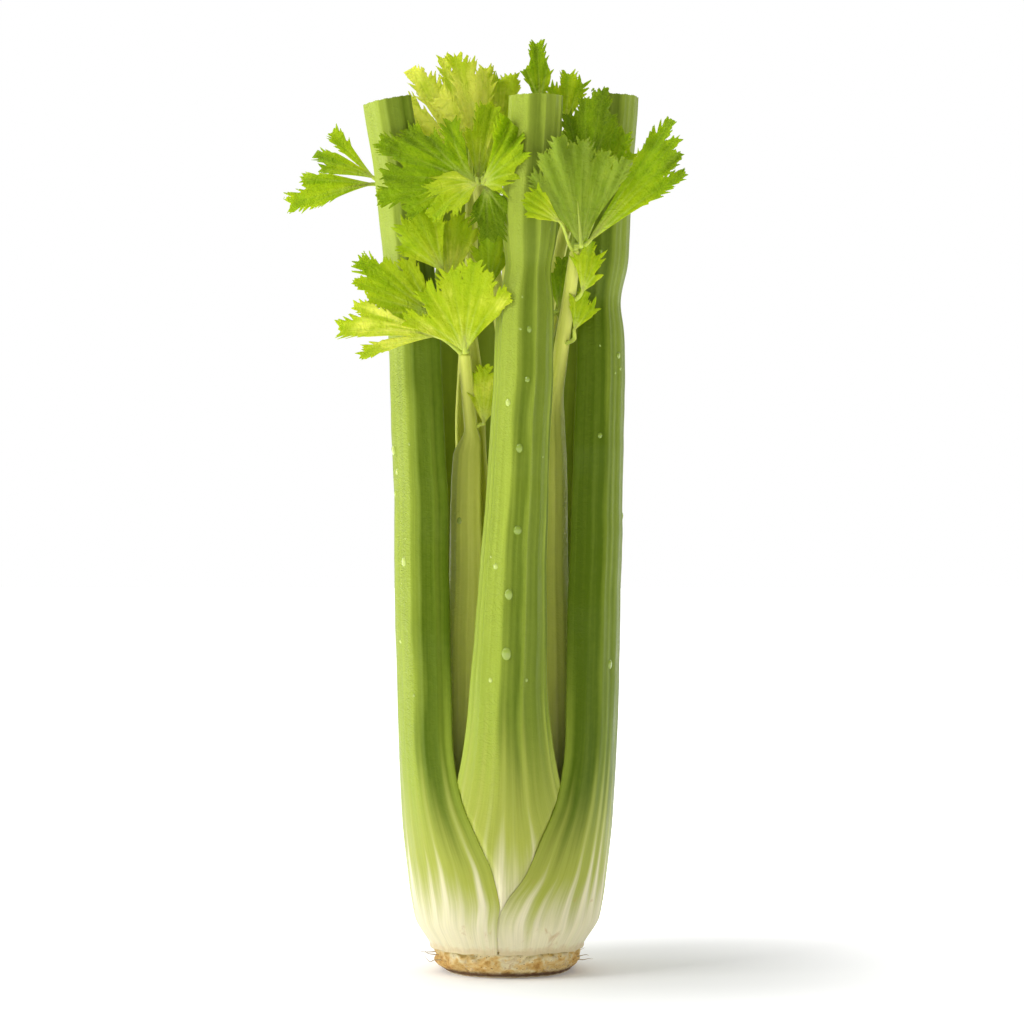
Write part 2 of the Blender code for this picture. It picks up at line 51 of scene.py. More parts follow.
def polar(azimuth, rows):
    c, s = math.cos(math.radians(azimuth)), math.sin(math.radians(azimuth))
    return [
        (z, (r - R) * c - side * s, (r - R) * s + side * c, R, A, t, e, q)
        for z, r, side, R, A, t, e, q in rows
    ]


def stem(rows):
    return [(z, x, y, R, 100, 1.0, 1.0, 1.0) for z, x, y, R in rows]


def outer_stalk(azimuth, first, lean, node=None, side=0.0, cut=TOP_CUT, size=1.0, waist=1.0, tilt=0.0, fade=(13, 72), seed=1, wrap=0.0):
    rows = [
        (first, 28.2, 0.0, 27.5, 66 + wrap, 4.2, 0.55, 0.0),
        (20.0, 34.0, 0.0, 32.0, 69 + wrap, 4.8, 0.45, 0.0),
        (28.0, 35.6, 0.0, 32.5, 69 + 0.55 * wrap, 5.4, 0.45, 0.0),
        (38.0, 37.0, 0.0, 31.5, 65, 6.2, 0.55, 0.0),
        (50.0, 38.6, 0.0, 29.5, 61, 6.9, 0.7, 0.0),
        (64.0, 40.0, 0.0, 25.5 * (0.65 + 0.35 * waist), 58, 7.6, 1.0, 0.0),
        (80.0, 41.2, 0.0, 21.5 * (0.4 + 0.6 * waist), 61, 8.2, 1.4, 0.0),
        (100.0, 42.2, 0.0, 18.5 * (0.1 + 0.9 * waist), 69, 8.6, 2.0, 0.0),
        (130.0, 43.2, 0.1 * side, 16.3 * waist, 77, 8.8, 2.4, 0.0),
        (180.0, 44.0, 0.35 * side, 15.3 * size, 80, 8.6, 2.6, 0.0),
        (230.0, 44.6 + 0.12 * lean, 0.6 * side, 14.6 * size, 80, 8.4, 2.6, 0.0),
        (275.0, 44.8 + 0.5 * lean, 0.8 * side, 14.0 * size, 80, 8.2, 2.6, 0.0),
        (cut, 45.0 + lean, side, 13.4 * size, 80, 8.2, 2.6, 0.0),
    ]
    return dict(azimuth=azimuth, rows=polar(azimuth, rows), node=node, cut=True, tilt=tilt, fade=fade, seed=seed)


def inner_stalk(azimuth, first, top, reach, stem_rows, size=1.0, width=66, fade=(14, 110), seed=1):
    rows = [
        (first, 21.5 * reach, 0.0, 20.0 * reach, 58, 3.4, 1.2, 0.0),
        (28.0, 26.5 * reach, 0.0, 22.0 * reach, 56, 4.0, 1.1, 0.0),
        (50.0, 27.5 * reach, 0.0, 19.0 * reach, 56, 4.8, 1.2, 0.0),
        (80.0, 26.5 * reach, 0.0, 14.0 * reach, 60, 5.6, 1.5, 0.0),
        (130.0, 25.0 * reach, 0.0, 10.5 * size, width, 6.0, 1.8, 0.0),
        (top - 26.0, 24.0 * reach, 0.0, 9.3 * size, width, 6.0, 1.9, 0.0),
        (top - 8.0, 23.4 * reach, 0.0, 8.2 * size, width, 5.8, 2.0, 0.15),
    ]
    return dict(azimuth=azimuth, rows=polar(azimuth, rows) + stem(stem_rows), node=None, cut=False, tilt=0.0, fade=fade, seed=seed)


STALKS = {
    "stalk_outer_left": outer_stalk(205, 10.4, 10.5, tilt=-0.09, seed=11, wrap=-7.0),
    "stalk_outer_right": outer_stalk(338, 10.4, 5.0, node=(243, 0.16, 9), size=0.97, cut=315.5, seed=12, wrap=9.0),
    "stalk_outer_back_left": outer_stalk(116, 10.4, 2.5, node=(262, 0.12, 9), cut=307, seed=13),
    "stalk_outer_front": outer_stalk(
        271, 11.4, 1.0, node=(252, 0.20, 9), side=9.6, cut=313, size=0.72, waist=0.79, fade=(15, 96), seed=14
    ),
    "stalk_outer_back_right": outer_stalk(
        55, 11.4, 2.0, node=(236, 0.14, 9), side=-3.0, cut=309, size=0.92, seed=15
    ),
    "stalk_middle_left": inner_stalk(
        214, 13.2, 195, 0.96,
        [(196.5, -13.2, -14.0, 2.5), (212, -13.9, -19.5, 2.3), (222, -14.8, -25.5, 2.2)],
        size=0.95, width=70, seed=16,
    ),
    "stalk_middle_right": inner_stalk(
        336, 13.2, 207, 0.96,
        [(212, 17.8, -14.5, 3.1), (232, 20.2, -24.5, 2.6), (258, 24.4, -36.5, 2.2)],
        size=0.92, width=70, seed=17,
    ),
    "stalk_middle_back_left": inner_stalk(
        138, 13.2, 222, 0.95,
        [(228, -14.5, 11.0, 3.1), (252, -13.5, 7.0, 2.6), (284, -12.6, -6.0, 2.1)],
        size=0.9, width=64, seed=18,
    ),
    "stalk_middle_front": inner_stalk(
        279, 13.2, 214, 0.92,
        [(220, 0.5, -19.0, 3.0), (250, -4.5, -24.0, 2.5), (283, -10.3, -30.2, 2.1)],
        size=0.86, width=60, seed=19,
    ),
    "stalk_middle_back_right": inner_stalk(
        58, 13.2, 218, 0.95,
        [(224, 11.5, 14.0, 3.1), (252, 17.0, 8.0, 2.6), (286, 25.6, -2.5, 2.1)],
        size=0.9, width=64, seed=20,
    ),
    "stalk_heart_left": inner_stalk(
        196, 17.0, 178, 0.52,
        [(184, -9.5, -3.0, 2.6), (214, -11.0, -9.0, 2.2), (244, -14.6, -19.0, 1.8)],
        size=0.55, width=64, seed=21,
    ),
    "stalk_heart_right": inner_stalk(
        326, 17.0, 170, 0.50,
        [(176, 8.0, -5.0, 2.5), (204, 10.0, -10.0, 2.1), (236, 16.5, -20.0, 1.7)],
        size=0.55, width=62, seed=22,
    ),
    "stalk_heart_back": inner_stalk(
        82, 17.0, 186, 0.50,
        [(192, 1.5, 8.5, 2.6), (224, 0.5, 14.0, 2.2), (262, 0.0, 20.0, 1.8)],
        size=0.55, width=62, seed=23,
    ),
}


def hermite(z, rows):
    rows = np.array(rows, float)
    x, y = rows[:, 0], rows[:, 1:]
    h = np.diff(x)[:, None]
    d = np.diff(y, axis=0) / h
    m = np.zeros_like(y)
    same = d[:-1] * d[1:] > 0
    w1, w2 = 2 * h[1:] + h[:-1], h[1:] + 2 * h[:-1]
    with np.errstate(divide="ignore", invalid="ignore"):
        mean = (w1 + w2) / (w1 / d[:-1] + w2 / d[1:])
    m[1:-1] = np.where(same, mean, 0.0)
    m[0], m[-1] = d[0], d[-1]
    z = np.clip(np.asarray(z, float), x[0], x[-1])
    i = np.clip(np.searchsorted(x, z, side="right") - 1, 0, len(x) - 2)
    u = ((z - x[i]) / h[i, 0])[:, None]
    return (
        y[i] * (1 + 2 * u) * (1 - u) ** 2
        + m[i] * h[i] * u * (1 - u) ** 2
        + y[i + 1] * u * u * (3 - 2 * u)
        + m[i + 1] * h[i] * u * u * (u - 1)
    )


def smooth(a, b, x):
    t = np.clip((x - a) / (b - a), 0, 1)
    return t * t * (3 - 2 * t)


def wobble(x, seed, octaves=3):
    """A smooth random curve, about -1 to 1, with bumps about one unit of x long."""
    rng = np.random.default_rng(seed)
    out = np.zeros_like(np.asarray(x, float))
    for k in range(octaves * 3):
        f = rng.uniform(0.4, 1.3) * 2 ** (k / 3)
        out += np.sin(2 * math.pi * (f * x + rng.uniform())) / (1.4 ** k)
    return out / 2.4


def room_inside(theta, curve, gap):
    angle = np.arctan2(curve[:, 1], curve[:, 0])
    middle = math.atan2(curve[len(curve) // 2, 1], curve[len(curve) // 2, 0])
    angle = (angle - middle + math.pi) % (2 * math.pi) - math.pi
    radius = np.hypot(curve[:, 0], curve[:, 1])
    order = np.argsort(angle)
    angle, radius = angle[order], radius[order]
    t = (theta - middle + math.pi) % (2 * math.pi) - math.pi
    inside = np.interp(t, angle, radius) - gap
    past = np.maximum(0, np.maximum(angle[0] - t, t - angle[-1]))
    return inside + EDGE_RISE * np.maximum(0, past * radius.mean() - EDGE_CLEAR)


# Strips of fine wet wrinkles along the ridges.
WET = {
    "stalk_outer_left": [(-0.25, 0), (-0.1, 0.4), (0.05, 1), (0.33, 1), (0.40, 0.15), (0.62, 0.1), (0.7, 0.35), (0.8, 0.1), (1, 0)],
    "stalk_outer_front": [(-1, 0.1), (-0.72, 0.25), (-0.5, 0.8), (-0.2, 1), (-0.13, 0.1), (0.2, 0.1), (0.27, 0.5), (0.34, 0.1), (1, 0.2)],
    "stalk_outer_right": [(-1, 0.1), (-0.75, 0.4), (-0.6, 0.1), (-0.1, 0.1), (0.1, 0.5), (0.4, 0.6), (0.6, 0.1), (1, 0.1)],
}


class Ribs:
    """The ridges across a stalk's outer side, at fixed shares of its width."""

    def __init__(self, seed, major, minor):
        rng = np.random.default_rng(seed)
        self.major = np.linspace(-1, 1, major + 1) + np.r_[0, rng.uniform(-0.35, 0.35, major - 1) / major, 0]
        self.minor = np.linspace(-1, 1, minor + 1) + rng.uniform(-0.3, 0.3, minor + 1) / minor
        self.power = rng.uniform(0.15, 1.0, minor + 1)
        self.depth = rng.uniform(0.7, 1.1, major + 1)
        self.seed = seed

    def hollow(self, share):
        """0 on a ridge, 1 halfway between two ridges."""
        i = np.clip(np.searchsorted(self.major, share) - 1, 0, len(self.major) - 2)
        a, b = self.major[i], self.major[i + 1]
        u = np.clip((share - a) / (b - a), 0, 1) * 2 - 1
        return self.depth[i] * (1 - np.abs(u) ** 2.0)

    def string(self, share, half_width):
        """How near a fine rib is, 0 to 1, by its strength."""
        off = np.abs(share[:, None] - self.minor[None, :])
        near = np.exp(-((off / half_width) ** 2)) * self.power[None, :]
        return near.max(1)


RIBS = {n: Ribs(s["seed"], 6 if s["cut"] else 5, 11 if s["cut"] else 9) for n, s in STALKS.items()}
RIBS["stalk_outer_left"].major = np.array([-1, -0.62, -0.18, 0.38, 0.55, 0.80, 1.0])
RIBS["stalk_outer_front"].major = np.array([-1, -0.62, -0.18, 0.27, 0.58, 0.84, 1.0])
RIBS["stalk_outer_front"].depth = np.array([0.8, 0.7, 1.35, 0.9, 0.8, 0.8, 0.8])
RIBS["stalk_outer_right"].major = np.array([-1, -0.70, -0.40, -0.05, 0.30, 0.66, 1.0])

# How pale the skin is at shares of the width: partly the paler ridges and deep green hollows, partly painted light: the
# sides facing the key lamp are painted paler, the sides turned away deeper green, and some narrow bands are painted
# sheen.
PALE_AND_LIT = {
    "stalk_outer_left": [(-1, 0.2), (-0.5, 0.45), (-0.3, 0.75), (0.05, 0.95), (0.34, 0.90), (0.41, 0.50), (0.52, 0.32), (0.60, 0.06), (1, 0.0)],
    "stalk_outer_front": [(-1, 0.75), (-0.6, 0.9), (-0.24, 1.0), (-0.14, 0.5), (-0.02, 0.22), (0.16, 0.14), (0.23, 0.5), (0.28, 0.62), (0.34, 0.34), (0.7, 0.40), (0.80, 0.45), (0.86, 0.7), (0.93, 0.35), (1, 0.35)],
    "stalk_outer_right": [(-1, 0.0), (-0.48, 0.06), (-0.38, 0.34), (-0.3, 0.24), (0.1, 0.3), (0.3, 0.26), (1, 0.3)],
    "stalk_outer_back_left": [(-1, 0.1), (-0.6, 0.3), (-0.2, 0.75), (0.1, 0.3), (0.45, 0.6), (1, 0.2)],
    "stalk_outer_back_right": [(-1, 0.3), (-0.5, 0.15), (-0.1, 0.6), (0.3, 0.25), (0.7, 0.5), (1, 0.1)],
}


def raw_section(stalk, p, n):
    cx, cy, R, A, t, e, q = p
    A = math.radians(A)
    az = math.radians(stalk["azimuth"])
    share = np.sin(np.linspace(-1, 1, n) * math.pi / 2 * 0.82) / math.sin(math.pi / 2 * 0.82)

    def placed(radius, angle):
        return np.stack([cx + radius * np.cos(az + angle), cy + radius * np.sin(az + angle)], 1)

    out_angle = share * A
    in_angle = share * A * 0.985
    thick = e + (t - e) * np.cos(share * math.pi / 2) ** 1.2
    crescent = placed(R - thick, in_angle)
    back = math.pi - np.abs(share) * (math.pi - A * 1.08)
    whole = placed(np.full(n, R), np.where(share < 0, -back, back))
    normal = np.stack([np.cos(az + out_angle), np.sin(az + out_angle)], 1)
    return placed(np.full(n, R), out_angle), crescent + q * (whole - crescent), normal, share


def build_mesh(name, verts, faces, attributes, sharp=50):
    """A mesh object from arrays in millimetres; faces is a list of arrays with a row for each face."""
    me = bpy.data.meshes.new(name)
    verts = np.asarray(verts, np.float32) * MM
    me.vertices.add(len(verts))
    me.vertices.foreach_set("co", verts.ravel())
    index = np.concatenate([np.asarray(f, np.int32).ravel() for f in faces])
    total = np.concatenate([np.full(len(f), np.asarray(f).shape[1], np.int32) for f in faces])
    start = np.concatenate([[0], np.cumsum(total)[:-1]]).astype(np.int32)
    me.loops.add(len(index))
    me.loops.foreach_set("vertex_index", index)
    me.polygons.add(len(total))
    me.polygons.foreach_set("loop_start", start)
    me.polygons.foreach_set("loop_total", total)
    me.update(calc_edges=True)
    me.validate()
    me.polygons.foreach_set("use_smooth", np.ones(len(me.polygons), bool))
    for key, values in attributes.items():
        values = np.asarray(values, np.float32)
        layer = me.attributes.new(key, "FLOAT_VECTOR" if values.ndim == 2 else "FLOAT", "POINT")
        layer.data.foreach_set("vector" if values.ndim == 2 else "value", values.ravel())
    if sharp:
        me.set_sharp_from_angle(angle=math.radians(sharp))
    obj = bpy.data.objects.new(name, me)
    bpy.context.scene.collection.objects.link(obj)
    return obj


SURFACE = {}  # name: (heights, outer points, outward normals) for placing drops
CAP = 5


def build_stalks():
    grid = np.concatenate([np.arange(9.2, 66, 1.25), np.arange(66, 322, 1.6)])
    levels, params = {}, {}
    for name, stalk in STALKS.items():
        rows = stalk["rows"]
        first, last = rows[0][0] - (1.2 if stalk["cut"] else 0.8), rows[-1][0]
        zs = np.unique(np.round(np.concatenate([[first, last], grid[(grid > first + 0.4) & (grid < last - 0.5)]]), 3))
        if not stalk["cut"]:
            zs = np.concatenate([zs, last + np.array([0.5, 0.9, 1.1])])
        p = hermite(zs, rows)
        if stalk["node"]:
            at, depth, half = stalk["node"]
            p[:, 2] *= 1 - depth * np.exp(-(((zs - at) / half) ** 2))
        high = smooth(70, 150, zs)
        p[:, 0] += 0.35 * high * wobble(zs / 70, stalk["seed"] + 100)
        p[:, 1] += 0.35 * high * wobble(zs / 70, stalk["seed"] + 200)
        p[:, 2] *= 1 + 0.012 * high * wobble(zs / 45, stalk["seed"] + 300)
        if not stalk["cut"]:
            p[-3:, 2] *= np.array([0.86, 0.6, 0.25])
        levels[name], params[name] = zs, p
    made = {n: [] for n in STALKS}
    order = list(STALKS)
    for name in order:
        stalk = STALKS[name]
        n = 104 if stalk["cut"] else 68
        for z, p in zip(levels[name], params[name]):
            outer, inner, normal, share = raw_section(stalk, p, n)
            if z < 132:
                for other in order[: order.index(name)]:
                    zo = levels[other]
                    k = int(np.argmin(np.abs(zo - z)))
                    if abs(zo[k] - z) > 2.5:
                        continue
                    fixed = made[other][k][1]
                    for curve, extra in ((outer, 0.0), (inner, 1.0)):
                        theta = np.arctan2(curve[:, 1], curve[:, 0])
                        radius = np.hypot(curve[:, 0], curve[:, 1])
                        most = np.maximum(room_inside(theta, fixed, SHEATH_GAP + extra), 1.0)
                        curve *= (np.minimum(radius, most) / radius)[:, None]
            made[name].append((outer, inner, normal, share))
    for name in order:
        stalk, zs, ribs = STALKS[name], levels[name], RIBS[name]
        rings, surf, look, pale_lit_band = [], [], [], []
        table = PALE_AND_LIT.get(name, [(-1, 0.55), (-0.2, 1.0), (0.3, 0.8), (1, 0.5)])
        wet_table = WET.get(name, [(-1, 0.1), (-0.3, 0.2), (0.0, 0.8), (0.3, 0.2), (1, 0.1)])
        wet = []
        points, normals = [], []
        top = zs[-1]
        for (outer, inner, normal, share), z, p in zip(made[name], zs, params[name]):
            arc = math.radians(p[3]) * p[2]
            q = p[6]
            deep = (0.14 + 0.52 * smooth(40, 120, z)) * (1 - q) * (1.0 if stalk["cut"] else 0.5)
            fine = (0.15 - 0.04 * smooth(60, 140, z)) * (1 - 0.75 * q)
            edge = 1 - smooth(0.86, 1.0, np.abs(share))
            string = ribs.string(share, (0.46 + 0.40 * (1 - smooth(60, 130, z))) / max(arc, 3.0) + 0.008)
            hollow = ribs.hollow(share) * (0.8 + 0.2 * wobble(z / 60 + share * 2, stalk["seed"] + 7, 1))
            cut_in = -(deep * hollow + fine * (1 - string)) * edge
            out = outer + normal * cut_in[:, None]
            middle, half = (out + inner) / 2, (out - inner) / 2
            lip = []
            for end, sign in ((-1, 1), (0, -1)):
                a, b = middle[end], half[end]
                size = float(np.hypot(*b))
                across = np.array([-b[1], b[0]]) / max(size, 1e-6) * sign
                turn = np.linspace(0, math.pi, CAP + 2)[1:-1]
                arc_points = a + np.outer(np.cos(turn), b) + np.outer(np.sin(turn), across) * size * 0.9
                lip.append(arc_points if end == -1 else arc_points[::-1])
            ring = np.concatenate([out, lip[0], inner[::-1], lip[1]])
            height = np.full(len(ring), z)
            foot = 1 - smooth(zs[0], zs[0] + 7.0, z)
            where = np.arctan2(ring[:, 1], ring[:, 0])
            height = height - foot * 0.6 * (0.5 + 0.5 * np.sin(where * 13 + stalk["seed"]) * np.sin(where * 5.3 + 1.7 * stalk["seed"]))
            if stalk["cut"]:
                lean = (ring - ring.mean(0)) @ np.array([math.cos(0), 0.0])
                near_top = smooth(top - 26, top, z)
                height = height + near_top * (-stalk["tilt"] * lean * 1.6)
                rim = smooth(top - 1.6, top, z)
                height += rim * 0.10 * np.array([math.sin(i * 2.3 + stalk["seed"]) + math.sin(i * 0.71) for i in range(len(ring))])
            else:
                pass
            rings.append(np.column_stack([ring, height]))
            points.append(np.column_stack([out, height[: len(out)]]))
            normals.append(np.column_stack([normal, np.zeros(len(out))]))
            zero = np.zeros(CAP)
            s_all = np.concatenate([share, zero + 1, share[::-1], zero - 1])
            surf.append(np.column_stack([s_all * (24.0 if stalk["cut"] else 14.0), np.full(len(ring), z), np.full(len(ring), stalk["seed"] * 3.7)]))
            rib = np.concatenate([string * edge, zero, np.zeros(len(share)), zero])
            inside = np.concatenate([np.zeros(len(share)), np.linspace(0.3, 0.9, CAP), np.ones(len(share)), np.linspace(0.9, 0.3, CAP)])
            look.append(np.column_stack([rib, inside, np.zeros(len(ring))]))
            drift = 0.05 * wobble(np.array([z / 50]), stalk["seed"] + 31, 1)[0]
            # Painted light: the table paints each stalk's lit side paler and its shaded side deeper green. Below about
            # 130 mm the margins are painted paler, partly for thin pale margins and partly as painted light over the
            # shaded seams between sheaths.
            pale = np.interp(share + drift, [a for a, _ in table], [b for _, b in table])
            pale = np.minimum(pale + 0.6 * smooth(0.84, 0.98, np.abs(share)) * (1 - smooth(70, 130, z)), 1.1)
            pale_lit_band.append(np.concatenate([pale, zero + pale[-1], pale[::-1], zero + pale[0]]))
            soak = np.interp(share + drift, [a for a, _ in wet_table], [b for _, b in wet_table])
            wet.append(np.concatenate([soak, zero + 0.1, share * 0 + 0.1, zero + 0.1]))
        n = len(made[name][0][3])
        count = len(rings[0])
        verts = np.concatenate(rings)
        surf, look, pale_lit_band, wet = np.concatenate(surf), np.concatenate(look), np.concatenate(pale_lit_band), np.concatenate(wet)
        levels_n = len(rings)
        k, i = np.meshgrid(np.arange(levels_n - 1), np.arange(count), indexing="ij")
        j = (i + 1) % count
        quads = np.stack([k * count + i, k * count + j, (k + 1) * count + j, (k + 1) * count + i], -1).reshape(-1, 4)
        faces = [quads]
        for level, flip in ((0, True), (levels_n - 1, False)):
            base = level * count
            outer_ids = base + np.arange(n)
            inner_ids = base + 2 * n + CAP - 1 - np.arange(n)
            shares = (0.05, 0.25, 0.5, 0.75, 0.95)
            rows_ids = [outer_ids]
            for f in shares:
                new = verts[outer_ids] * (1 - f) + verts[inner_ids] * f
                if not flip:
                    new[:, 2] -= 0.10 + 0.10 * np.sin(np.arange(n) * 1.7 + f * 9)
                ids = len(verts) + np.arange(n)
                verts = np.concatenate([verts, new])
                surf = np.concatenate([surf, surf[outer_ids] * np.array([1, 1, 1]) + np.array([0, 0, 0])])
                look = np.concatenate([look, np.column_stack([np.zeros(n), np.full(n, f), np.ones(n)])])
                pale_lit_band = np.concatenate([pale_lit_band, pale_lit_band[outer_ids]])
                wet = np.concatenate([wet, np.full(n, 0.1)])
                rows_ids.append(ids)
            rows_ids.append(inner_ids)
            for a, b in zip(rows_ids, rows_ids[1:]):
                strip = np.stack([a[:-1], a[1:], b[1:], b[:-1]], -1)
                faces.append(strip[:, ::-1] if flip else strip)
            ends_a = np.concatenate([[r[-1] for r in rows_ids], (base + n + np.arange(CAP))[::-1]])
            ends_b = np.concatenate([[r[0] for r in rows_ids[::-1]], (base + 2 * n + CAP + np.arange(CAP))[::-1]])
            for ends in (ends_a[::-1], ends_b[::-1]):
                faces.append(np.array([ends[::-1] if flip else ends]))
        obj = build_mesh(name + "_skin", verts, faces, {"surf": surf, "look": look, "pale_lit_band": pale_lit_band, "wet": wet}, sharp=48)
        SURFACE[name] = (zs, np.array(points), np.array(normals), made[name][0][3])
        yield name, obj


# ------------------------------------------------------------ nodes


class Tree:
    def __init__(self, name):
        self.mat = bpy.data.materials.new(name)
        self.mat.use_nodes = True
        self.tree = self.mat.node_tree
        self.bsdf = self.tree.nodes["Principled BSDF"]

    def node(self, kind, **settings):
        n = self.tree.nodes.new(kind)
        for k, v in settings.items():
            setattr(n, k, v)
        return n

    def link(self, a, b):
        self.tree.links.new(a, b)

    def put(self, socket, value):
        if hasattr(value, "links") or isinstance(value, bpy.types.NodeSocket):
            self.link(value, socket)
        else:
            socket.default_value = value

    def attribute(self, name, what="Vector"):
        n = self.node("ShaderNodeAttribute", attribute_name=name)
        return n.outputs[what]

    def split(self, vector):
        n = self.node("ShaderNodeSeparateXYZ")
        self.link(vector, n.inputs[0])
        return n.outputs

    def join(self, x, y, z):
        n = self.node("ShaderNodeCombineXYZ")
        for socket, v in zip(n.inputs, (x, y, z)):
            self.put(socket, v)
        return n.outputs[0]

    def math(self, op, a, b=0.0, c=0.0, clamp=False):
        n = self.node("ShaderNodeMath", operation=op, use_clamp=clamp)
        for socket, v in zip(n.inputs, (a, b, c)):
            self.put(socket, v)
        return n.outputs[0]

    def scaled(self, vector, by):
        n = self.node("ShaderNodeVectorMath", operation="MULTIPLY")
        self.link(vector, n.inputs[0])
        n.inputs[1].default_value = by
        return n.outputs[0]

    def noise(self, vector, scale=1.0, detail=3.0, rough=0.5, distortion=0.0):
        n = self.node("ShaderNodeTexNoise")
        self.link(vector, n.inputs["Vector"])
        n.inputs["Scale"].default_value = scale
        n.inputs["Detail"].default_value = detail
        n.inputs["Roughness"].default_value = rough
        n.inputs["Distortion"].default_value = distortion
        return n.outputs["Fac"]

    def cells(self, vector, scale=1.0, feature="F1", randomness=1.0):
        n = self.node("ShaderNodeTexVoronoi", feature=feature)
        self.link(vector, n.inputs["Vector"])
        n.inputs["Scale"].default_value = scale
        n.inputs["Randomness"].default_value = randomness
        return n.outputs["Distance"]

    def span(self, value, a, b, lo=0.0, hi=1.0, kind="SMOOTHSTEP"):
        n = self.node("ShaderNodeMapRange", interpolation_type=kind)
        self.put(n.inputs["Value"], value)
        for k, v in (("From Min", a), ("From Max", b), ("To Min", lo), ("To Max", hi)):
            n.inputs[k].default_value = v
        return n.outputs["Result"]

    def ramp(self, value, stops):
        n = self.node("ShaderNodeValToRGB")
        self.link(value, n.inputs[0])
        r = n.color_ramp
        while len(r.elements) < len(stops):
            r.elements.new(0.5)
        for e, (at, c) in zip(r.elements, stops):
            e.position = at
            e.color = (*c, 1.0)
        return n.outputs["Color"]

    def mix(self, factor, a, b, kind="MIX"):
        n = self.node("ShaderNodeMix", data_type="RGBA", blend_type=kind)
        self.put(n.inputs[0], factor)
        for socket, v in ((n.inputs[6], a), (n.inputs[7], b)):
            self.put(socket, (*v, 1.0) if isinstance(v, tuple) else v)
        return n.outputs[2]

    def bump(self, height, strength, distance, normal=None):
        n = self.node("ShaderNodeBump")
        n.inputs["Strength"].default_value = strength
        n.inputs["Distance"].default_value = distance
        self.link(height, n.inputs["Height"])
        if normal is not None:
            self.link(normal, n.inputs["Normal"])
        return n.outputs["Normal"]


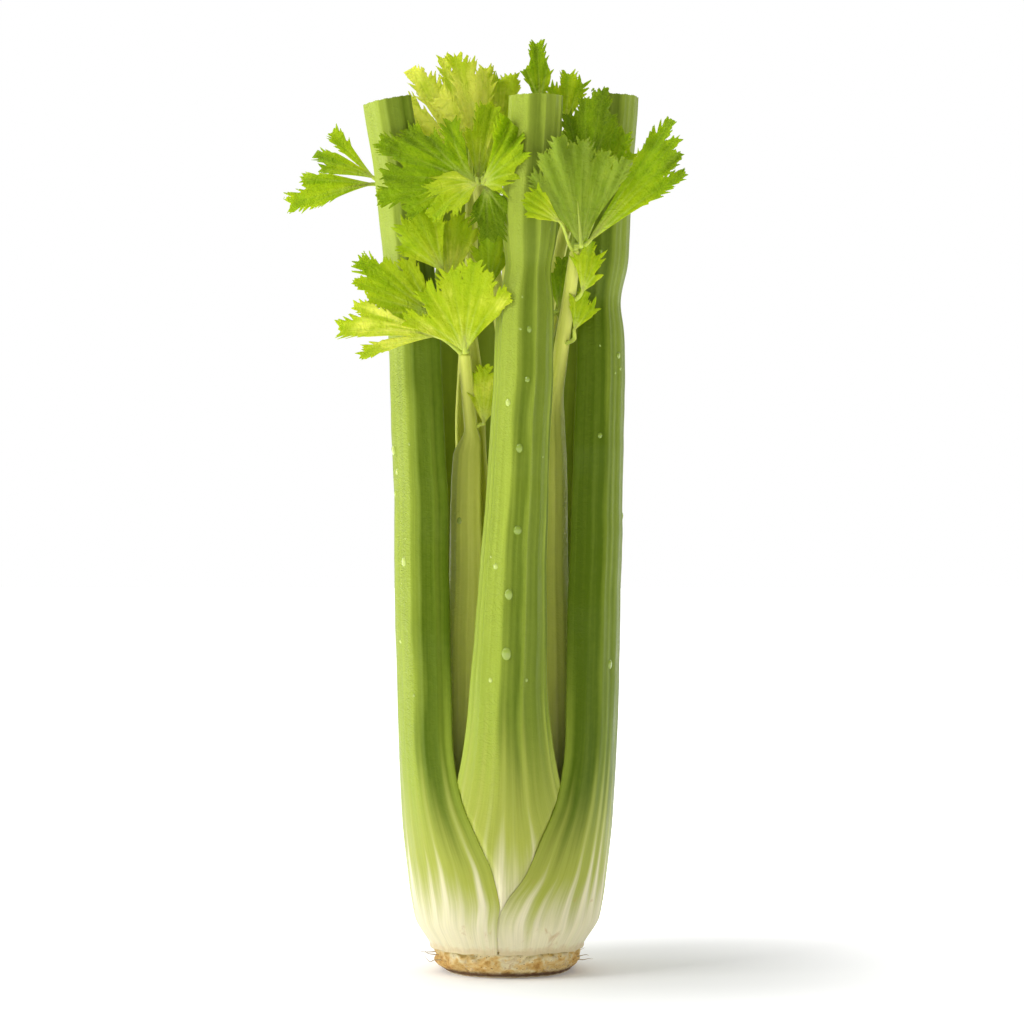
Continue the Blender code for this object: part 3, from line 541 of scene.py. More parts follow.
def stalk_material(name, fade, seed, colours, sheen=0.42):
    """Pale ridges over deep green hollows, both fading to cream at the foot; the pale bands are partly painted light on
    the sides that face the lamp.
    """
    cream, straw, deep, pale_green, flesh = colours
    t = Tree(name)
    surf = t.attribute("surf")
    pale_lit_band = t.attribute("pale_lit_band", "Fac")
    wet = t.attribute("wet", "Fac")
    arc, z, _ = t.split(surf)
    rib, inner, cut = t.split(t.attribute("look"))
    broad = t.noise(t.scaled(surf, (0.10, 0.005, 1.0)), 1.0, 2.0)
    streak = t.noise(t.scaled(surf, (0.42, 0.008, 1.0)), 1.0, 3.0, 0.6)
    fine = t.noise(t.scaled(surf, (1.9, 0.04, 1.0)), 1.0, 3.0, 0.6)
    mottle = t.noise(t.scaled(surf, (0.55, 0.42, 1.0)), 1.0, 4.0, 0.62)
    # How green it is here: from 0 at the foot to 1, lower down in some streaks than in others.
    wide = t.noise(t.scaled(surf, (0.24, 0.004, 1.7)), 1.0, 1.0)
    lift = t.math("MULTIPLY_ADD", streak, 22.0, -11.0)
    lift = t.math("ADD", lift, t.math("MULTIPLY_ADD", wide, 30.0, -15.0))
    lift = t.math("ADD", lift, t.math("MULTIPLY_ADD", fine, 6.0, -3.0))
    lift = t.math("ADD", lift, t.math("MULTIPLY", rib, -18.0))
    level = t.math("ADD", z, lift)
    share = t.span(level, fade[0], fade[1], kind="LINEAR")
    # Band of paler skin, partly painted light on the lit sides and painted sheen, a little uneven.
    pale = t.math("ADD", pale_lit_band, t.math("MULTIPLY_ADD", streak, 0.5, -0.25))
    pale = t.math("ADD", pale, t.math("MULTIPLY_ADD", broad, 0.36, -0.18))
    pale = t.math("ADD", pale, t.math("MULTIPLY", rib, 0.10))
    pale = t.math("ADD", pale, t.span(z, 200.0, 320.0, 0.0, 0.22))
    pale = t.math("ADD", pale, t.math("MULTIPLY_ADD", mottle, 0.16, -0.08), clamp=True)
    skin = t.mix(pale, deep, pale_green)
    colour = t.mix(t.span(share, 0.30, 1.0), straw, skin)
    colour = t.mix(t.span(share, 0.0, 0.42), cream, colour)
    colour = t.mix(t.span(fine, 0.35, 0.7, 0.0, 0.16), colour, t.mix(0.7, colour, deep))
    near_foot = t.span(z, 105.0, 35.0, 0.10, 0.30)
    colour = t.mix(t.math("MULTIPLY", t.span(rib, 0.25, 1.0), near_foot), colour, t.mix(t.span(z, 90.0, 20.0), pale_green, (0.80, 0.80, 0.46)))
    # The inner side is paler; the cut shows wet pale flesh with string ends.
    colour = t.mix(t.math("MULTIPLY", inner, 0.40), colour, t.mix(t.span(share, 0.1, 0.9), cream, pale_green))
    dots = t.cells(t.join(t.math("MULTIPLY", arc, 0.42), t.math("MULTIPLY", inner, 3.2), float(seed)), 1.0)
    ends = t.mix(t.span(dots, 0.10, 0.30), (0.20, 0.32, 0.04), flesh)
    colour = t.mix(t.span(cut, 0.2, 0.9), colour, ends)
    # Faint brown marks near the foot.
    spots = t.noise(t.scaled(surf, (0.22, 0.09, 1.3)), 1.0, 4.0, 0.7, 0.6)
    foot = t.span(z, 52.0, 12.0, 0.0, 1.0)
    colour = t.mix(t.math("MULTIPLY", t.span(spots, 0.60, 0.74), t.math("MULTIPLY", foot, 0.55)), colour, (0.50, 0.30, 0.10))
    edge = t.span(t.math("ADD", z, t.math("MULTIPLY_ADD", mottle, 5.0, -2.5)), 12.6, 9.8)
    colour = t.mix(t.math("MULTIPLY", edge, 0.42), colour, (0.60, 0.40, 0.17))
    t.link(colour, t.bsdf.inputs["Base Color"])
    # Fine crosswise wrinkles on the pale bands and lengthwise fibres everywhere.
    ticks = t.noise(t.scaled(surf, (0.30, 0.62, 1.0)), 1.0, 3.0, 0.6, 1.4)
    where = t.math("MULTIPLY", wet, t.span(z, 40.0, 110.0, 0.1, 1.0))
    patchy = t.span(t.noise(t.scaled(surf, (0.16, 0.020, 1.0)), 1.0, 2.0), 0.32, 0.56, 0.25, 1.0)
    where = t.math("MULTIPLY_ADD", t.math("MULTIPLY", where, patchy), 1.0, 0.06)
    ticks = t.math("MULTIPLY", t.span(ticks, 0.30, 0.70), where)
    fibres = t.noise(t.scaled(surf, (2.4, 0.04, 1.0)), 1.0, 2.0)
    normal = t.bump(ticks, 0.55, 0.00050)
    normal = t.bump(fibres, 0.30, 0.00018, normal)
    t.link(normal, t.bsdf.inputs["Normal"])
    rough = t.span(t.noise(t.scaled(surf, (0.35, 0.05, 1.0)), 1.0, 3.0), 0.3, 0.7, sheen - 0.10, sheen + 0.10)
    t.link(rough, t.bsdf.inputs["Roughness"])
    b = t.bsdf.inputs
    b["Subsurface Weight"].default_value = 0.15
    b["Subsurface Radius"].default_value = (0.9, 1.0, 0.28)
    b["Subsurface Scale"].default_value = 0.0016
    b["IOR"].default_value = 1.42
    b["Specular IOR Level"].default_value = 0.24
    b["Specular Tint"].default_value = (1.0, 1.0, 0.45, 1.0)
    b["Coat Weight"].default_value = 0.07
    b["Coat Roughness"].default_value = 0.12
    return t.mat


OUTER_COLOURS = ((0.84, 0.78, 0.53), (0.42, 0.46, 0.075), (0.070, 0.122, 0.0005), (0.355, 0.450, 0.050), (0.60, 0.67, 0.32))
# The inner stalks' colours are partly their own paler colour and partly painted light: they are made brighter to stand
# in for light that does not reach them between the outer stalks.
INNER_COLOURS = ((0.86, 0.80, 0.56), (0.70, 0.69, 0.24), (0.400, 0.470, 0.020), (0.760, 0.790, 0.170), (0.66, 0.72, 0.38))

# ------------------------------------------------------------ the leaves

FAN4 = [(-38, 0.84, 0.15), (-13, 1.0, 0.16), (12, 0.96, 0.16), (36, 0.82, 0.15)]
FAN3 = [(-32, 0.84, 0.18), (0, 1.0, 0.19), (32, 0.84, 0.18)]

LEAVES = {}


# tone places each leaf on the leaf colour ramp. It is partly the leaf's own colour and partly painted light, set leaf
# by leaf to how lit each one looks.
def leaf(name, on, start, base, tip, face, lobes, bend=25, cup=25, stem_r=1.0, tone=0.5, ruffle=1.0):
    LEAVES[name] = dict(
        on=on, start=start, base=base, tip=tip, face=face, lobes=lobes, bend=bend, cup=cup,
        stem_r=stem_r, tone=tone, ruffle=ruffle, seed=len(LEAVES) * 7 + 5,
    )


ON = "stalk_middle_left"
leaf("leaf_left_fan", ON, (-14.4, -27.2, 224.4), (-14.8, -37, 222.9), (-15.7, -44.5, 252.6), (0, -1, 0.15),
     [(-58.3, 0.844, 0.094), (-30.2, 0.88, 0.152), (-8.9, 0.97, 0.164), (8.1, 1.075, 0.141), (18.8, 0.984, 0.094), (37.4, 0.887, 0.106)], -14, -36, 1.1, tone=0.74, ruffle=0.8)
leaf("leaf_left_long", ON, (-17.2, -26.8, 224.0), (-24.6, -38.5, 228.5), (-59.8, -38, 232.7), (0.1, -0.9, 0.45),
     [(-25.8, 0.813, 0.071), (-0.8, 1.018, 0.122), (15.0, 0.913, 0.051)], 18, 16, 1.0, tone=0.84, ruffle=0.9)
leaf("leaf_left_upper", ON, (-16.2, -23.4, 224.2), (-25.1, -31.2, 235.9), (-52.4, -30.6, 255.1), (0, -1, 0.2),
     [(-33.3, 0.51, 0.086), (-21.8, 0.763, 0.086), (-12.9, 0.975, 0.054), (0.3, 1.03, 0.129), (10.1, 0.83, 0.076), (27.0, 0.682, 0.097)], 10, -10, 0.9, tone=0.62, ruffle=0.9)
leaf("leaf_left_curled", ON, (-9.0, -16.5, 198), (-8.2, -19.5, 198), (-7.8, -22.5, 218.6), (0.2, -1, 0.2),
     [(-15.1, 0.501, 0.086), (-10.2, 0.876, 0.086), (-0.0, 1.034, 0.104), (12.7, 0.813, 0.086), (24.1, 0.453, 0.086)], -30, 30, 0.7, tone=0.85, ruffle=2.2)
ON = "stalk_heart_left"
leaf("leaf_heart_left_a", ON, (-16.2, -19.8, 246), (-22.3, -32.5, 251.4), (-33.5, -35, 271.7), (-0.2, -1, 0.2),
     [(-28.1, 0.776, 0.108), (-12.3, 0.963, 0.108), (4.6, 1.027, 0.123), (20.3, 1.008, 0.123)], 16, 10, 0.7, tone=0.62, ruffle=2.6)
leaf("leaf_heart_left_b", ON, (-14.4, -21.0, 246.2), (-20.2, -27, 248.3), (-19.5, -29.5, 270.4), (0.1, -1, 0.1),
     [(-15.9, 0.655, 0.097), (-5.7, 0.954, 0.097), (6.6, 1.09, 0.129), (22.2, 0.938, 0.113)], -16, 24, 0.7, tone=0.86, ruffle=3.0)
leaf("leaf_heart_left_c", ON, (-12.8, -19.4, 246), (-6.7, -29.5, 245.3), (-4.9, -33, 264.8), (0.3, -1, 0.1),
     [(-16.8, 0.734, 0.126), (-6.3, 1.017, 0.108), (4.9, 1.045, 0.108), (18.5, 0.731, 0.108)], 12, 20, 0.7, tone=0.5, ruffle=2.2)
ON = "stalk_middle_front"
leaf("leaf_front_left_wide", ON, (-12.3, -31.4, 284.9), (-10.9, -34, 282.4), (-44.7, -37, 287.8), (0.1, -1, 0.2),
     [(-31.4, 0.809, 0.094), (-19.2, 1.05, 0.115), (-4.8, 0.981, 0.105), (15.2, 1.112, 0.126), (29.7, 0.941, 0.126), (37.1, 0.703, 0.094), (60.4, 0.729, 0.105)], 14, 12, 0.8, tone=0.34, ruffle=0.9)
leaf("leaf_front_upright", ON, (-10.2, -28.6, 285.3), (-10.3, -29, 283.6), (-7.1, -27, 310.8), (0.4, -1, 0),
     [(-16.3, 0.703, 0.079), (-2.6, 1.032, 0.118), (5.4, 1.022, 0.092), (18.0, 0.882, 0.092)], -14, -20, 0.8, tone=0.74, ruffle=1.0)
leaf("leaf_front_right", ON, (-8.5, -30.8, 285), (-8.7, -40, 281.8), (4.6, -45.5, 297.4), (0.1, -1, 0.3),
     [(-18.6, 1.278, 0.102), (-4.0, 1.149, 0.119), (13.0, 0.894, 0.119), (30.9, 0.58, 0.102), (57.2, 0.348, 0.102)], 10, 10, 0.7, tone=0.52, ruffle=2.2)
leaf("leaf_front_droop", ON, (-10.6, -33.2, 284.2), (-10.2, -40, 281.8), (-27.6, -46, 272.8), (0, -0.8, 0.7),
     [(-24.0, 0.779, 0.176), (-11.3, 1.088, 0.193), (22.2, 0.869, 0.211), (50.3, 0.729, 0.176)], 40, 30, 0.8, tone=0.72, ruffle=0.8)
# Painted shade: the very low tone paints this leaf as a shaded underside.
leaf("leaf_front_low", ON, (-9.2, -32.4, 284.2), (-7.4, -38.5, 281.3), (-4.9, -42, 262.7), (0.1, -1, -0.1),
     [(-27.5, 0.645, 0.17), (-6.7, 0.981, 0.189), (6.3, 0.994, 0.189), (19.4, 0.707, 0.17)], 16, 20, 0.7, tone=0.1, ruffle=0.5)
ON = "stalk_middle_back_left"
# Partly their yellow-green colour, partly painted light: the high tones of these back-left leaves make up for the shade
# they sit in.
leaf("leaf_back_left_a", ON, (-14.3, -6.8, 285.4), (-16.2, -12, 294), (-32, -12, 322.8), (-0.2, -1, 0.1),
     [(-33.6, 0.672, 0.099), (-17.7, 0.895, 0.088), (-0.4, 1.167, 0.066), (5.7, 0.975, 0.077)], 14, 16, 0.8, tone=1.14, ruffle=3.6)
leaf("leaf_back_left_b", ON, (-13, -4.2, 285.6), (-13.4, -5, 297.6), (-23.3, -2, 332.1), (0, -1, 0.1),
     [(-14.8, 0.832, 0.08), (-0.2, 1.023, 0.05), (2.7, 0.798, 0.08)], 16, 20, 0.8, tone=1.0, ruffle=2.8)
leaf("leaf_back_left_c", ON, (-11.8, -7.9, 285.4), (-9.7, -17, 292.7), (-14.6, -21, 328), (0.1, -1, 0.1),
     [(-25.6, 0.76, 0.09), (-6.0, 1.112, 0.07), (1.7, 0.996, 0.08), (11.9, 0.895, 0.07)], -16, 24, 0.8, tone=1.06, ruffle=3.4)
leaf("leaf_back_left_d", ON, (-10.7, -5.2, 285.5), (-5.4, -7, 290.2), (-3.2, -10, 326.6), (0.2, -1, 0.1),
     [(-7.4, 1.019, 0.069), (2.1, 0.925, 0.088), (9.9, 0.997, 0.059), (18.2, 0.76, 0.088)], 16, 20, 0.8, tone=0.9, ruffle=3.0)
leaf("leaf_side_upper", ON, (-17.2, 3.2, 264), (-48.6, 5, 288.5), (-66.4, 4, 299.3), (0, -1, 0.6),
     [(-26.7, 0.967, 0.103), (-9.3, 1.176, 0.155), (19.2, 1.148, 0.103)], 10, 12, 0.9, tone=0.62, ruffle=1.0)
leaf("leaf_side_lower", ON, (-17.2, 7, 258), (-48.8, 9.5, 286.7), (-80.3, 9, 279.4), (0, -1, 0.45),
     [(-5.8, 0.763, 0.067), (-1.1, 1.027, 0.1), (14.9, 0.824, 0.078)], 34, 12, 0.9, tone=0.62, ruffle=1.0)
ON = "stalk_middle_right"
leaf("leaf_right_fan", ON, (24.4, -39.2, 260.2), (26, -44, 259.7), (23.1, -49, 296.3), (0, 1, 0.2),
     [(-32.5, 0.938, 0.088), (-19.1, 0.924, 0.097), (-5.4, 1.016, 0.107), (7.7, 1.087, 0.097), (18.5, 0.971, 0.078), (30.2, 0.848, 0.088)], 12, 14, 1.0, tone=0.36, ruffle=1.0)
leaf("leaf_right_blade", ON, (27, -37.8, 260.2), (28.2, -40.5, 261), (59.4, -40.5, 296.5), (0.15, -0.95, 0.35),
     [(-7.4, 1.169, 0.061), (-0.6, 1.069, 0.046), (4.0, 1.002, 0.046), (12.6, 0.928, 0.046)], 10, -8, 0.9, tone=0.46, ruffle=1.6)
leaf("leaf_right_small", ON, (22.2, -39.2, 260), (18.5, -49, 267.7), (6.7, -51, 275.8), (0, -1, 0.3),
     [(-17.4, 0.848, 0.148), (0.3, 1.033, 0.148), (18.4, 1.023, 0.148)], 20, 24, 0.6, tone=0.72, ruffle=1.2)
leaf("leaf_right_dark", ON, (23.6, -34.0, 260.2), (27.3, -33.4, 280.3), (31.5, -34.5, 314.1), (0.1, -1, 0.1),
     [(-20.3, 0.826, 0.074), (-7.2, 0.971, 0.074), (3.8, 1.095, 0.085), (13.3, 0.862, 0.074)], 12, 14, 0.8, tone=0.16, ruffle=1.6)
leaf("leaf_right_top", ON, (26.2, -34.0, 260), (33, -29.5, 277.2), (39.4, -29, 304.9), (0.1, -1, 0.1),
     [(-13.0, 0.897, 0.076), (-3.1, 1.014, 0.089), (7.9, 0.911, 0.089), (20.7, 0.723, 0.076)], 8, 10, 0.8, tone=0.42, ruffle=1.8)
leaf("leaf_right_low_a", ON, (25.4, -33.4, 242.5), (26.5, -35.5, 244.1), (30, -37, 260.3), (0.2, -1, 0.1),
     [(-20.1, 0.817, 0.087), (-3.9, 1.16, 0.109), (12.1, 0.885, 0.109), (25.6, 0.456, 0.109)], 16, 24, 0.7, tone=0.66, ruffle=2.2)
leaf("leaf_right_low_b", ON, (24, -28.8, 228.5), (23.8, -30.5, 231), (28.7, -31.5, 243), (0.2, -1, 0.1),
     [(-22.6, 0.818, 0.111), (-6.5, 1.188, 0.138), (19.0, 0.868, 0.138)], 16, 24, 0.7, tone=0.66, ruffle=2.2)
ON = "stalk_middle_back_right"
leaf("leaf_top_point", ON, (24, -2.6, 287.8), (12, -2, 314.6), (10.9, -2, 335.7), (0, -1, 0.1),
     [(-19.4, 0.633, 0.068), (0.2, 1.069, 0.205), (14.0, 0.632, 0.068)], 8, 16, 1.0, tone=0.42, ruffle=0.7)
leaf("leaf_top_middle", ON, (26, -0.4, 287.8), (21.5, 3, 308), (22.2, 4, 326), (0.1, -1, 0),
     [(-26.6, 0.842, 0.12), (-0.1, 1.041, 0.16), (19.3, 0.884, 0.14)], 10, 20, 1.0, tone=0.66, ruffle=2.2)
ON = "stalk_heart_right"
leaf("leaf_heart_right", ON, (16.8, -20.9, 237.8), (18.6, -22.5, 238.6), (19.6, -25, 255.5), (0, -1, 0.1),
     [(-14.0, 0.804, 0.126), (-0.1, 1.041, 0.147), (14.8, 0.789, 0.126)], 16, 24, 0.7, tone=0.35, ruffle=1.4)
ON = "stalk_heart_back"
leaf("leaf_back_a", ON, (-1.4, 19.2, 263.8), (-7, 18, 285), (-14, 17, 322), (0, 1, 0.1), FAN4, 10, 10, tone=0.5)
leaf("leaf_back_b", ON, (1.2, 21.0, 263.8), (5, 25, 283), (9, 26, 316), (0.1, 1, 0.1), FAN3, 10, 10, tone=0.6)
LEAVES["leaf_top_point"]["peak"] = 0.42


def skeleton(spec):
    """Veins of a leaf as ((n, 2) points, (n,) half widths, order), in shares of its length."""
    rng = np.random.default_rng(spec["seed"])
    size = float(np.linalg.norm(np.array(spec["tip"], float) - np.array(spec["base"], float)))
    mm = 1.0 / size
    veins = []
    for deg, length, width in spec["lobes"]:
        a = math.radians(deg)
        tip = np.array([math.sin(a), math.cos(a)]) * length
        bow = math.radians(deg * 0.70)
        mid = np.array([math.sin(bow), math.cos(bow)]) * length * 0.5
        t = np.linspace(0, 1, 19)
        path = np.outer(2 * t * (1 - t), mid) + np.outer(t * t, tip)
        peak = spec.get("peak", 0.66)
        half = np.where(t < peak, (t / peak) ** 1.1, 1 - (np.clip(t - peak, 0, 1) / (1 - peak)) ** 1.35)
        half = width * half + 0.25 * mm * (1 - t)
        veins.append((path, half, 0))
        run = length * size
        for side in (-1, 1):
            at = 0.50 + 0.05 * rng.uniform()
            while at < 0.93:
                i = min(int(at * 18), 17)
                f = at * 18 - i
                p = path[i] * (1 - f) + path[i + 1] * f
                along = path[i + 1] - path[i]
                along /= np.hypot(*along)
                turn = side * math.radians(rng.uniform(26, 36) - 12 * max(at - 0.6, 0))
                way = np.array([along[0] * math.cos(turn) + along[1] * math.sin(turn), -along[0] * math.sin(turn) + along[1] * math.cos(turn)])
                here = np.interp(at, t, half)
                out = rng.uniform(1.0, 2.3) * (1 + 0.30 * max(spec["ruffle"] - 1, 0)) * mm * (0.75 + 0.25 * min(1, (at - 0.45) * 4)) * (1 if at < 0.8 else 0.7)
                reach = min(here / math.sin(abs(turn)) + out * 1.5, 0.36)
                s = np.linspace(0, 1, 5)
                tooth = p + np.outer(s, way) * reach
                veins.append((tooth, np.where(s < 0.5, 0.62 * mm, 0.62 * mm * (1 - (s - 0.5) * 2) ** 0.9) + 0.03 * mm, 1))
                at += rng.uniform(1.5, 2.5) / run * (1.2 - 0.3 * at)
    return veins


def vein_field(points, veins):
    """(distance inside the edge, distance to a main vein, distance to a side vein)."""
    f = np.full(len(points), -1e9)
    main = np.full(len(points), 1e9)
    minor = np.full(len(points), 1e9)
    for path, half, order in veins:
        for k in range(len(path) - 1):
            a, b = path[k], path[k + 1]
            ab = b - a
            u = np.clip(((points - a) @ ab) / max(ab @ ab, 1e-12), 0, 1)
            d = np.hypot(points[:, 0] - a[0] - u * ab[0], points[:, 1] - a[1] - u * ab[1])
            f = np.maximum(f, half[k] + (half[k + 1] - half[k]) * u - d)
            if order == 0:
                main = np.minimum(main, d)
            else:
                minor = np.minimum(minor, d)
    return f, main, minor


def flat_blade(spec, size, step=0.44):
    """Triangles of the leaf's outline laid flat: points in shares of its length, faces and the fields."""
    veins = skeleton(spec)
    h = step / size
    xs = np.arange(-0.95, 0.95 + h, h)
    ys = np.arange(-0.05, 1.12, h)
    X, Y = np.meshgrid(xs, ys, indexing="ij")
    pts = np.column_stack([X.ravel(), Y.ravel()])
    f, _, _ = vein_field(pts, veins)
    nx, ny = len(xs), len(ys)
    idx = np.arange(nx * ny).reshape(nx, ny)
    a, b, c, d = idx[:-1, :-1], idx[1:, :-1], idx[1:, 1:], idx[:-1, 1:]
    even = (np.add.outer(np.arange(nx - 1), np.arange(ny - 1)) % 2 == 0)
    t1 = np.where(even[..., None], np.stack([a, b, c], -1), np.stack([a, b, d], -1)).reshape(-1, 3)
    t2 = np.where(even[..., None], np.stack([a, c, d], -1), np.stack([b, c, d], -1)).reshape(-1, 3)
    tris = np.concatenate([t1, t2])
    inside = f > 0
    count = inside[tris].sum(1)
    whole = tris[count == 3]
    cut = tris[(count == 1) | (count == 2)]
    new_points, edge_id, out = [], {}, []

    def crossing(i, j):
        key = (min(i, j), max(i, j))
        if key not in edge_id:
            u = f[i] / (f[i] - f[j])
            u = min(max(u, 0.06), 0.94)
            edge_id[key] = len(pts) + len(new_points)
            new_points.append(pts[i] * (1 - u) + pts[j] * u)
        return edge_id[key]

    for tri in cut.tolist():
        ins = [inside[v] for v in tri]
        if sum(ins) == 1:
            k = ins.index(True)
            p, q, r = tri[k], tri[(k + 1) % 3], tri[(k + 2) % 3]
            out.append((p, crossing(p, q), crossing(p, r)))
        else:
            k = ins.index(False)
            p, q, r = tri[k], tri[(k + 1) % 3], tri[(k + 2) % 3]
            pq, pr = crossing(q, p), crossing(r, p)
            out.append((q, r, pr))
            out.append((q, pr, pq))
    faces = np.concatenate([whole, np.array(out, int).reshape(-1, 3)])
    pts = np.concatenate([pts, np.array(new_points).reshape(-1, 2)])
    used, faces = np.unique(faces, return_inverse=True)
    faces = faces.reshape(-1, 3)
    pts = pts[used]
    # Keep only the piece that the stem carries.
    parent = np.arange(len(pts))
    for _ in range(60):
        low = parent.copy()
        m = parent[faces].min(1)
        for col in range(3):
            np.minimum.at(low, faces[:, col], m)
        low = low[low]
        if (low == parent).all():
            break
        parent = low
    for _ in range(2000):
        low = parent[parent]
        m = low[faces].min(1)
        nxt = low.copy()
        for col in range(3):
            np.minimum.at(nxt, faces[:, col], m)
        if (nxt == parent).all():
            break
        parent = nxt
    values, counts = np.unique(parent, return_counts=True)
    keep = parent == values[counts.argmax()]
    faces = faces[keep[faces].all(1)]
    used, faces = np.unique(faces, return_inverse=True)
    faces = faces.reshape(-1, 3)
    pts = pts[used]
    f, main, minor = vein_field(pts, veins)
    return pts, faces, f, main, minor


def build_leaf(name, spec):
    base, tip, face = (np.array(spec[k], float) for k in ("base", "tip", "face"))
    size = float(np.linalg.norm(tip - base))
    forward = (tip - base) / size
    side = np.cross(forward, face)
    side /= np.linalg.norm(side)
    up = np.cross(side, forward)
    rng = np.random.default_rng(spec["seed"] + 50)
    step = 0.36 if size < 24 else 0.44
    pts, faces, inside, main, minor = flat_blade(spec, size, step)
    waves = [(rng.uniform(2.0, 4.5), rng.uniform(0, 6.28), rng.uniform(0.5, 1.0)) for _ in range(4)]
    ripples = [(rng.uniform(7, 16), rng.uniform(0, 6.28), rng.uniform(0.4, 1.0)) for _ in range(5)]

    def place(p, offset=0.0):
        x, y = p[:, 0] * size, p[:, 1] * size
        r = np.hypot(p[:, 0], p[:, 1])
        ang = np.arctan2(p[:, 0], np.maximum(p[:, 1], 1e-6) + 0.15)
        _, dm, dn = field_cache(p)
        h = 0.34 * (np.sqrt((dm * size) ** 2 + 0.36) - 0.6) * np.clip(r * 2.2, 0, 1)
        h += 0.10 * (np.sqrt((np.minimum(dn, 0.06) * size) ** 2 + 0.04) - 0.2)
        ruffle = spec["ruffle"]
        for freq, phase, amount in waves:
            h += 0.030 * size * min(ruffle, 1.8) * amount * np.sin(freq * ang * 2 + phase) * r ** 1.6
        for freq, phase, amount in ripples:
            h += 0.012 * size * ruffle * amount * np.sin(freq * ang * 2 + phase + 3 * r) * r ** 2.4
        kf, ks = math.radians(spec["bend"]) / size, math.radians(spec["cup"]) / size
        start = 0.5 * kf * size
        turn = start - kf * y
        if abs(kf) > 1e-9:
            along, rise = (math.sin(start) - np.sin(turn)) / kf, (np.cos(turn) - math.cos(start)) / kf
        else:
            along, rise = y, 0 * y
        across, drop = (np.sin(ks * x) / ks, (1 - np.cos(ks * x)) / ks) if abs(ks) > 1e-9 else (x, 0 * x)
        h = h - drop + offset
        return (
            base
            + np.outer(along - h * np.sin(turn), forward)
            + np.outer(across, side)
            + np.outer(rise + h * np.cos(turn), up)
        )

    cache = {}

    def field_cache(p):
        key = p.tobytes()
        if key not in cache:
            cache[key] = vein_field(p, skeleton_veins)
        return cache[key]

    skeleton_veins = skeleton(spec)
    cache[pts.tobytes()] = (inside, main, minor)
    middle = place(pts)
    d = 0.004
    du = place(pts + np.array([d, 0])) - middle
    dv = place(pts + np.array([0, d])) - middle
    normal = np.cross(du, dv)
    normal /= np.linalg.norm(normal, axis=1)[:, None]
    if (normal @ up).mean() < 0:
        normal = -normal
        flip = True
    else:
        flip = False
    r = np.hypot(pts[:, 0], pts[:, 1])
    vein_main = np.exp(-((main * size / (0.20 + 0.26 * (1 - np.clip(r, 0, 1)))) ** 2))
    vein_minor = np.exp(-((minor * size / 0.20) ** 2))
    thick = 0.16 * np.clip(inside * size / 0.5, 0.25, 1)
    low = 0.16 * np.clip(inside * size / 0.5, 0.25, 1) + 0.30 * vein_main * (1.1 - np.clip(r, 0, 1)) + 0.06 * vein_minor
    top = middle + normal * thick[:, None]
    bottom = middle - normal * low[:, None]
    n = len(pts)
    tri = faces
    # Face winding: top faces look along the normal.
    a, b, c = middle[tri[:, 0]], middle[tri[:, 1]], middle[tri[:, 2]]
    good = (np.cross(b - a, c - a) * normal[tri[:, 0]]).sum(1) > 0
    top_faces = np.where(good[:, None], tri, tri[:, ::-1])
    bottom_faces = top_faces[:, ::-1] + n
    edges = np.concatenate([top_faces[:, [0, 1]], top_faces[:, [1, 2]], top_faces[:, [2, 0]]])
    key = np.sort(edges, 1)
    _, index, counts = np.unique(key, axis=0, return_inverse=True, return_counts=True)
    rim = edges[counts[index.reshape(-1)] == 1]
    wall = np.stack([rim[:, 1], rim[:, 0], rim[:, 0] + n, rim[:, 1] + n], -1)
    verts = [top, bottom]
    seed = np.full(n, spec["seed"] * 1.3)
    blade = [np.column_stack([pts[:, 0] * size, pts[:, 1] * size, seed])] * 2
    veins = [np.column_stack([vein_main, vein_minor, np.zeros(n)]), np.column_stack([vein_main, vein_minor, np.ones(n)])]
    tone = [np.column_stack([np.full(n, spec["tone"]), np.clip(r, 0, 1), np.clip(inside * size, 0, 5)])] * 2
    # The stem, from inside the stalk that carries it to under the blade.
    start = np.array(spec["start"], float)
    carrier = STALKS[spec["on"]]["rows"]
    z0 = min(start[2] - 2.5, carrier[-1][0] - 1.0)
    cx, cy = hermite([z0], carrier)[0][:2]
    root = np.array([cx, cy, z0])
    if np.linalg.norm(root - start) > 9:
        root = start + (root - start) * 0.6
    under = place(np.array([[0.0, 0.16]]))[0] - up * 0.25
    end = place(np.array([[0.0, 0.42]]))[0] - up * 0.22
    control = [root, start, base, under, end]
    t = np.linspace(0, 1, 30)
    knots = np.array([0, *np.cumsum([np.linalg.norm(q - p) + 0.01 for p, q in zip(control, control[1:])])])
    knots /= knots[-1]
    path = hermite(t, [(k, *p) for k, p in zip(knots, control)])
    sides = 12
    radius = spec["stem_r"] * np.interp(t, [0, knots[1], knots[2], knots[3], 1], [1.15, 1.05, 0.85, 0.5, 0.12])
    ahead = np.gradient(path, axis=0)
    ahead /= np.linalg.norm(ahead, axis=1)[:, None]
    right = side[None, :] - ahead * (ahead @ side)[:, None]
    right /= np.linalg.norm(right, axis=1)[:, None]
    over = np.cross(right, ahead)
    turn = np.linspace(0, 2 * math.pi, sides, endpoint=False)
    dent = 1 - 0.22 * np.exp(-(((turn - math.pi / 2) / 0.5) ** 2))
    tube = (
        path[:, None, :]
        + right[:, None, :] * (np.cos(turn) * dent)[None, :, None] * radius[:, None, None]
        + over[:, None, :] * (np.sin(turn) * dent)[None, :, None] * radius[:, None, None]
    ).reshape(-1, 3)
    offset = 2 * n
    k, i = np.meshgrid(np.arange(len(t) - 1), np.arange(sides), indexing="ij")
    j = (i + 1) % sides
    tube_faces = np.stack([k * sides + i, k * sides + j, (k + 1) * sides + j, (k + 1) * sides + i], -1).reshape(-1, 4) + offset
    ends = [np.array([np.arange(sides)[::-1] + offset]), np.array([np.arange(sides) + offset + (len(t) - 1) * sides])]
    m = len(tube)
    verts.append(tube)
